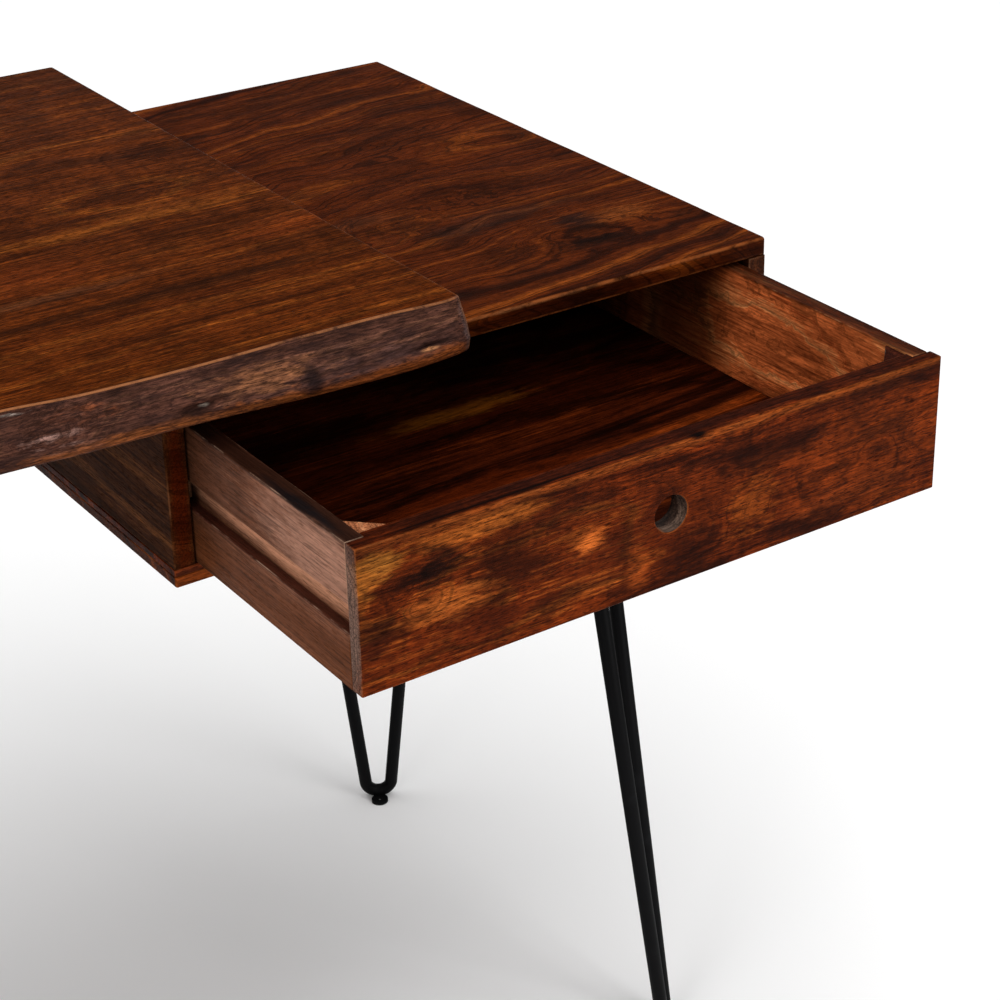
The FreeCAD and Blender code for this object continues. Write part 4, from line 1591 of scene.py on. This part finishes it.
FRONT_WOOD = WoodFinish(
    name="drawer_front_figured_wood", grain=Grain.ALONG_X, dark=tint(64, 24, 7),
    mid=tint(116, 54, 18), light=tint(188, 112, 50), cloud=tint(46, 19, 7), pith=(-0.11, 0.628),
    lean=(0.02, 0.05), ring=0.0065, sway=0.016, wander=(5.0, 14.0, 14.0), cloud_size=(0.060, 0.022),
    ripple=1.05, lines=0.55, streak=0.85, bold=0.85, pores=0.85, worn=tint(168, 104, 58), wear=0.38,
    worn_from=0.42, rough=0.44, seed=11.0,
    knots=(
        Knot((0.4065, -0.165, 0.6750), (0.020, 0.03, 0.013), 0.015, 0.5),
        Knot((0.4190, -0.165, 0.6636), (0.015, 0.03, 0.010), -0.013, 0.6),
        Knot((0.6693, -0.165, 0.6473), (0.026, 0.03, 0.020), 0.011, 0.1),
        Knot((0.7720, -0.165, 0.6573), (0.013, 0.03, 0.008), 0.009, 0.75)),
    patches=(
        Patch((0.3870, -0.165, 0.6960), (0.020, 0.012, 0.010), SAPWOOD),
        Patch((0.3770, -0.165, 0.6880), (0.016, 0.012, 0.016), tint(166, 106, 48)),
        Patch((0.4560, -0.165, 0.6990), (0.050, 0.012, 0.009), tint(184, 110, 50), 0.85),
        Patch((0.4274, -0.165, 0.6830), (0.024, 0.012, 0.017), INK_AND_PIT_SHADE, 0.92, 1.1),
        Patch((0.3860, -0.165, 0.6500), (0.016, 0.012, 0.016), tint(64, 28, 14), 0.7),
        Patch((0.4810, -0.165, 0.6640), (0.042, 0.012, 0.016), tint(58, 25, 10), 0.85),
        Patch((0.4500, -0.165, 0.6330), (0.075, 0.012, 0.020), tint(96, 42, 15), 0.55),
        Patch((0.4350, -0.165, 0.6560), (0.034, 0.012, 0.012), tint(186, 112, 54), 0.55),
        Patch((0.5650, -0.165, 0.6560), (0.060, 0.012, 0.034), tint(92, 40, 14), 0.50),
        Patch((0.7600, -0.165, 0.6640), (0.085, 0.012, 0.050), tint(148, 76, 30), 0.25),
        Patch((0.5395, -0.165, 0.6640), (0.013, 0.012, 0.008), tint(204, 118, 56)),
        Patch((0.5200, -0.165, 0.6900), (0.045, 0.012, 0.010), tint(60, 26, 11), 0.7),
        Patch((0.5738, -0.165, 0.6320), (0.010, 0.012, 0.014), tint(172, 92, 40), 0.65),
        Patch((0.6120, -0.165, 0.6330), (0.034, 0.012, 0.014), tint(56, 22, 8)),
        Patch((0.6640, -0.165, 0.6500), (0.020, 0.012, 0.020), tint(186, 104, 44), 0.5, 1.4),
        Patch((0.7050, -0.165, 0.6860), (0.030, 0.012, 0.010), tint(52, 21, 9), 0.85),
        Patch((0.7500, -0.165, 0.6330), (0.060, 0.012, 0.010), tint(150, 78, 36), 0.4),
        # A light band along the front's top edge: part wear, part painted highlight on its rounding.
        Patch((0.6000, -0.1650, 0.7085), (0.40, 0.0025, 0.0042), tint(158, 90, 42), 0.6, 0.5),
        Patch((0.6000, -0.1530, 0.7110), (0.40, 0.0095, 0.0016), tint(66, 28, 14), 0.85, 0.3),
        Patch((0.4900, -0.1600, 0.7104), (0.150, 0.0013, 0.0030), INK_AND_PIT_SHADE, 0.9, 0.10),
        Patch((0.6215, -0.1630, 0.7104), (0.0110, 0.0050, 0.0030), INK_AND_PIT_SHADE, 1.0, 0.35),
        Patch((0.3764, -0.156, 0.662), (0.0010, 0.016, 0.070), tint(134, 110, 98), 0.9, 0.2)))

BORE_WOOD = WoodFinish(
    name="finger_hole_cut_wood", grain=Grain.ALONG_X, dark=tint(62, 48, 42), mid=tint(98, 78, 68),
    light=tint(140, 118, 104), cloud=tint(40, 26, 20), clouds=0.6, cloud_size=(0.008, 0.008),
    ripple=0.3, worn=tint(150, 126, 110), wear=0.4, rough=0.5, gloss=0.15, seed=71.0,
    patches=(
        Patch((0.592, -0.160, 0.655), (0.006, 0.010, 0.005), tint(176, 110, 66), 0.85, 0.4),
        Patch((0.610, -0.158, 0.668), (0.006, 0.010, 0.007), tint(66, 52, 48), 0.7, 0.6)))

# Its greyish colours are partly the wood's tone and partly painted sheen.
DRAWER_LEFT_WOOD = WoodFinish(
    name="drawer_left_side_wood", grain=Grain.ALONG_Y, dark=tint(92, 60, 44), mid=tint(132, 90, 68),
    light=tint(166, 122, 98), cloud=tint(66, 40, 28), pith=(-0.20, 0.30), lean=(0.03, 0.02),
    sway=0.010, clouds=0.30, cloud_size=(0.12, 0.03), bold=0.25, streak=0.45, lines=0.25,
    ripple=0.3, pores=0.3, worn=tint(178, 150, 130), wear=0.65, seed=14.0,
    patches=(
        # Pale grey near the front: painted sheen.
        Patch((0.376, -0.125, 0.690), (0.004, 0.080, 0.035), tint(186, 144, 124), 0.8, 0.6),
        # Dark from inside the case to a little in front of it: painted shadow.
        Patch((0.376, 0.13, 0.66), (0.06, 0.16, 0.20), tint(52, 33, 23), 0.94, 0.25),
        Patch((0.376, -0.10, 0.628), (0.02, 0.30, 0.020), tint(116, 72, 44), 0.75, 0.5),
        # Lightens the groove's floor: painted light that cancels its shade.
        Patch((0.3829, -0.10, 0.6640), (0.0035, 0.16, 0.0120), tint(214, 162, 132), 0.8, 0.1),
        # Dark along the groove's lower wall: painted shade in the groove.
        Patch((0.380, 0.0, 0.6510), (0.016, 0.60, 0.0010), tint(84, 48, 38), 0.9, 0.08),
        Patch((0.3829, 0.0, 0.7104), (0.014, 0.60, 0.0022), tint(44, 24, 18), 0.92, 0.3),
        Patch((0.3800, -0.10, 0.7104), (0.0050, 0.050, 0.0022), tint(34, 30, 32), 0.9, 0.5)))

# Its bright colours stand partly for the light on the inner face.
DRAWER_RIGHT_WOOD = WoodFinish(
    name="drawer_right_side_wood", grain=Grain.ALONG_Y, dark=tint(150, 76, 42),
    mid=tint(222, 130, 78), light=tint(250, 176, 118), cloud=tint(120, 60, 32), pith=(0.80, 0.655),
    lean=(0.10, 0.05), ring=0.0085, sway=0.014, lines=0.50, clouds=0.50, cloud_size=(0.12, 0.03),
    ripple=0.35, pores=0.5, worn=tint(176, 134, 100), wear=0.5, rough=0.42, seed=17.0,
    knots=(Knot((0.8077, -0.03, 0.668), (0.03, 0.085, 0.028), 0.030, 0.1),),
    patches=(
        # The inner face darkens towards the back, inside the case: painted shade. The third patch darkens
        # the whole outer face.
        Patch((0.8077, 0.085, 0.66), (0.10, 0.060, 0.30), tint(84, 38, 17), 0.9, 0.1),
        Patch((0.8077, 0.270, 0.66), (0.10, 0.22, 0.30), tint(62, 27, 12), 0.92, 0.1),
        Patch((0.8257, 0.0, 0.66), (0.012, 3.0, 3.0), tint(104, 56, 28), 0.95, 0.1),
        Patch((0.8142, 0.0, 0.7104), (0.014, 0.60, 0.0022), tint(52, 28, 18), 0.92, 0.3)))

DRAWER_BACK_WOOD = WoodFinish(
    name="drawer_back_wood", grain=Grain.ALONG_X, dark=tint(50, 26, 15), mid=tint(86, 46, 26),
    light=tint(120, 70, 40), pith=(0.40, 0.62), seed=19.0, clouds=0.5, rough=0.5)

PANEL_WOOD = WoodFinish(
    name="drawer_panel_dark_wood", grain=Grain.ALONG_X, dark=tint(40, 16, 7), mid=tint(82, 36, 14),
    light=tint(134, 66, 26), cloud=tint(24, 10, 5), pith=(0.10, 0.45), lean=(0.08, 0.0), ring=0.008,
    sway=0.016, clouds=0.9, cloud_size=(0.14, 0.03), pores=0.5, rough=0.42, seed=23.0, wear=0.0,
    patches=(
        Patch((0.6113, 0.100, 0.6273), (0.07, 0.012, 0.01), tint(156, 98, 34), 0.7),
        Patch((0.56, -0.02, 0.6273), (0.10, 0.035, 0.01), tint(122, 54, 20), 0.5),
        Patch((0.4485, -0.066, 0.6273), (0.04, 0.020, 0.01), tint(110, 52, 24), 0.6),
        # Near black at the back, inside the case: painted shade.
        Patch((0.66, 0.20, 0.6273), (0.12, 0.08, 0.01), tint(20, 10, 6))))

CASE_TOP_WOOD = WoodFinish(
    name="case_top_swirled_wood", grain=Grain.ALONG_X, dark=tint(68, 30, 10), mid=tint(102, 50, 17),
    light=tint(140, 78, 30), cloud=tint(50, 25, 10), pith=(0.22, 0.66), lean=(0.14, 0.06),
    ring=0.0085, sway=0.046, wander=(4.2, 8.0, 8.0), clouds=0.60, cloud_size=(0.08, 0.03),
    ripple=0.40, lines=0.62, streak=0.5, worn=tint(150, 92, 52), wear=0.7, worn_from=0.36,
    rough=0.44, gloss=0.012, seed=29.0,
    knots=(
        Knot((0.6202, 0.2326, 0.728), (0.045, 0.026, 0.05), 0.040, 0.5),
        Knot((0.7014, 0.2570, 0.728), (0.055, 0.035, 0.05), 0.035, 0.3),
        Knot((0.7450, 0.1280, 0.728), (0.050, 0.030, 0.05), 0.040, 0.45)),
    patches=(
        Patch((0.7489, 0.1434, 0.728), (0.022, 0.016, 0.01), tint(48, 34, 30)),
        Patch((0.7413, 0.1056, 0.728), (0.030, 0.008, 0.01), tint(44, 24, 16)),
        Patch((0.7840, 0.1362, 0.728), (0.030, 0.018, 0.01), tint(150, 88, 42), 0.65),
        Patch((0.700, 0.1800, 0.728), (0.060, 0.018, 0.01), tint(60, 44, 38), 0.55),
        Patch((0.6202, 0.2326, 0.728), (0.030, 0.014, 0.01), tint(128, 74, 42), 0.5),
        Patch((0.60, 0.035, 0.7170), (0.60, 0.0030, 0.0090), tint(64, 28, 9), 0.8, 0.2),
        # A light line along the top's front edge: painted highlight, with some wear.
        Patch((0.60, 0.035, 0.7275), (0.30, 0.0016, 0.0022), tint(150, 104, 70), 0.6, 0.8)))

CASE_LEFT_WOOD = WoodFinish(
    name="case_left_side_wood", grain=Grain.ALONG_Y, dark=tint(58, 34, 18), mid=tint(84, 52, 30),
    light=tint(112, 74, 44), cloud=tint(46, 27, 15), bold=0.6, gloss=0.004, pith=(-0.30, 0.40),
    ring=0.008, sway=0.016, clouds=0.4, ripple=0.2, seed=31.0, worn=tint(140, 100, 72),
    patches=(Patch((0.3675, 0.035, 0.66), (0.008, 0.0024, 0.08), tint(92, 38, 14), 0.9, 0.3),))

CASE_RIGHT_WOOD = WoodFinish(
    name="case_right_side_wood", grain=Grain.ALONG_Y, dark=tint(60, 34, 22), mid=tint(96, 56, 34),
    light=tint(130, 82, 50), pith=(-1.0, 0.64), ring=0.007, sway=0.016, clouds=0.5, ripple=0.3,
    seed=37.0, worn=tint(160, 124, 98))

CASE_BACK_WOOD = WoodFinish(
    name="case_back_wood", grain=Grain.ALONG_X, dark=tint(56, 32, 20), mid=tint(94, 54, 32),
    light=tint(130, 80, 48), pith=(0.70, 0.62), seed=41.0, clouds=0.5,
    knots=(Knot((0.52, 0.565, 0.66), (0.03, 0.03, 0.014), 0.02, 0.6),))

CASE_BOTTOM_WOOD = WoodFinish(
    name="case_bottom_wood", grain=Grain.ALONG_X, dark=tint(60, 32, 19), mid=tint(98, 54, 30),
    light=tint(136, 80, 46), pith=(0.30, 0.40), lean=(0.06, 0.0), seed=43.0, clouds=0.5,
    worn=tint(176, 110, 62),
    patches=(Patch((0.60, 0.035, 0.604), (0.40, 0.0030, 0.010), tint(172, 94, 42), 0.9, 0.4),))

LINER_WOOD = WoodFinish(
    name="case_liner_wood", grain=Grain.ALONG_X, dark=tint(50, 24, 14), mid=tint(90, 44, 24),
    light=tint(128, 66, 36), pith=(0.50, 0.50), seed=47.0, worn=tint(160, 92, 52))

RUNNER_WOOD = WoodFinish(
    name="runner_pale_wood", grain=Grain.ALONG_Y, dark=tint(104, 70, 48), mid=tint(150, 108, 76),
    light=tint(184, 144, 106), cloud=tint(84, 54, 38), clouds=0.35, ring=0.004, seed=53.0, wear=0.0,
    rough=0.55, gloss=0.3)

STOP_WOOD = WoodFinish(
    name="stop_pale_wood", grain=Grain.ALONG_Y, dark=tint(110, 76, 50), mid=tint(156, 112, 78),
    light=tint(190, 148, 108), clouds=0.3, ring=0.004, seed=59.0, wear=0.0, rough=0.55, gloss=0.3)

LEFT_BLOCK_WOOD = WoodFinish(
    name="left_corner_block_wood", grain=Grain.ALONG_Z, dark=tint(128, 78, 52),
    mid=tint(176, 118, 84), light=tint(206, 150, 112), clouds=0.3, ring=0.003, seed=61.0,
    worn=tint(214, 180, 150), rough=0.5)

RIGHT_BLOCK_WOOD = WoodFinish(
    name="right_corner_block_wood", grain=Grain.ALONG_Z, dark=tint(44, 20, 14),
    mid=tint(76, 36, 24), light=tint(108, 58, 40), clouds=0.5, ring=0.003, seed=67.0,
    worn=tint(200, 184, 168), rough=0.5)

BLACK_STEEL = SteelFinish("black_powder_coat", (0.0035, 0.0035, 0.0038), (0.012, 0.012, 0.013),
                          rough=0.5, grit=700.0, relief=0.2, gloss=0.05)
SCREW_STEEL = SteelFinish("zinc_screw_steel", (0.42, 0.41, 0.39), (0.25, 0.24, 0.22),
                          metal=1.0, rough=0.34, grit=500.0, relief=0.1)

KEPT = {
    "drawer_bottom": PANEL_WOOD,
    "left_runner": RUNNER_WOOD, "right_runner": RUNNER_WOOD,
    "opening_stop": STOP_WOOD, "left_rear_stop": STOP_WOOD, "right_rear_stop": STOP_WOOD,
}


def dress_kept_nodes(frame: dict[str, Any]) -> None:
    """Gives every CAD node that stays visible its finish.

    Args:
        frame: The loaded frame.
    """
    for name, node in frame["nodes"].items():
        if name in _replaced:
            continue
        if name in KEPT:
            finish: Union[WoodFinish, SteelFinish] = KEPT[name]
        else:
            finish = SCREW_STEEL if name.endswith("screws") and "leg" not in name else BLACK_STEEL
        if not node.material_slots:
            node.data.materials.append(wardrobe(finish))
        for slot in node.material_slots:
            slot.material = wardrobe(finish)


def main() -> None:
    """Builds the desk, piece by piece."""
    logging.basicConfig(level=logging.INFO, format="%(name)s: %(message)s")
    noise.seed_set(NOISE_SEED)
    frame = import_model()
    Studio().build()
    LiveEdgeSlab(
        Piece("main_top_slab", "root", "live_edge_wood", ("main_top",)), MAIN_TOP_WOOD,
        MAIN_EDGE_WOOD, MAIN_LINES, Axis.X,
        base=0.0, outward=-1.0, back=0.610, seed=1.0, dents=(
            Dent(0.2752, 0.0160, 0.022, 0.0070, 0.0022), Dent(0.2752, 0.0160, 0.008, 0.0026, -0.0016),
            Dent(0.3680, 0.0125, 0.012, 0.0030, 0.0026), Dent(0.5247, 0.0125, 0.013, 0.0022, 0.0024),
            Dent(0.2600, 0.0300, 0.024, 0.0026, 0.0030), Dent(0.4404, 0.0150, 0.010, 0.0120, -0.0016),
            Dent(0.3250, 0.0200, 0.010, 0.0120, 0.0012), Dent(0.10, 0.0180, 0.030, 0.0080, 0.0026),
            Dent(-0.22, 0.0150, 0.040, 0.0090, 0.0024), Dent(-0.55, 0.0200, 0.030, 0.0060, 0.0030))).build()
    LiveEdgeSlab(
        Piece("return_top_slab", "root", "live_edge_wood", ("return_top",)), RETURN_TOP_WOOD,
        RETURN_EDGE_WOOD, RETURN_LINES, Axis.Y,
        base=-0.360, outward=1.0, back=-0.840, seed=5.0, dents=(
            Dent(0.18, 0.0160, 0.024, 0.0070, 0.0024), Dent(0.18, 0.0160, 0.008, 0.0030, -0.0016),
            Dent(-0.30, 0.0140, 0.036, 0.0090, 0.0026), Dent(-0.52, 0.0200, 0.020, 0.0050, 0.0026))).build()
    Case(CASE_TOP_WOOD, CASE_LEFT_WOOD, CASE_RIGHT_WOOD, CASE_BACK_WOOD, CASE_BOTTOM_WOOD,
         LINER_WOOD).build()
    Drawer(FRONT_WOOD, DRAWER_LEFT_WOOD, DRAWER_RIGHT_WOOD, DRAWER_BACK_WOOD,
           (LEFT_BLOCK_WOOD, RIGHT_BLOCK_WOOD), BORE_WOOD).build()
    for name, centre, out in (
            ("case_front_leg", (0.744, 0.130), (17.0, -14.0)),
            ("case_back_leg", (0.751, 0.467), (32.0, 62.0)),
            ("return_front_left_leg", (-0.743, -0.513), (-1.0, -1.0)),
            ("return_front_right_leg", (-0.457, -0.513), (1.0, -1.0)),
            ("return_back_left_leg", (-0.743, 0.513), (-1.0, 1.0)),
            ("return_back_right_leg", (-0.457, 0.513), (1.0, 1.0))):
        HairpinLeg(name, centre, out, BLACK_STEEL).build()
    dress_kept_nodes(frame)


if __name__ == "__main__":
    main()
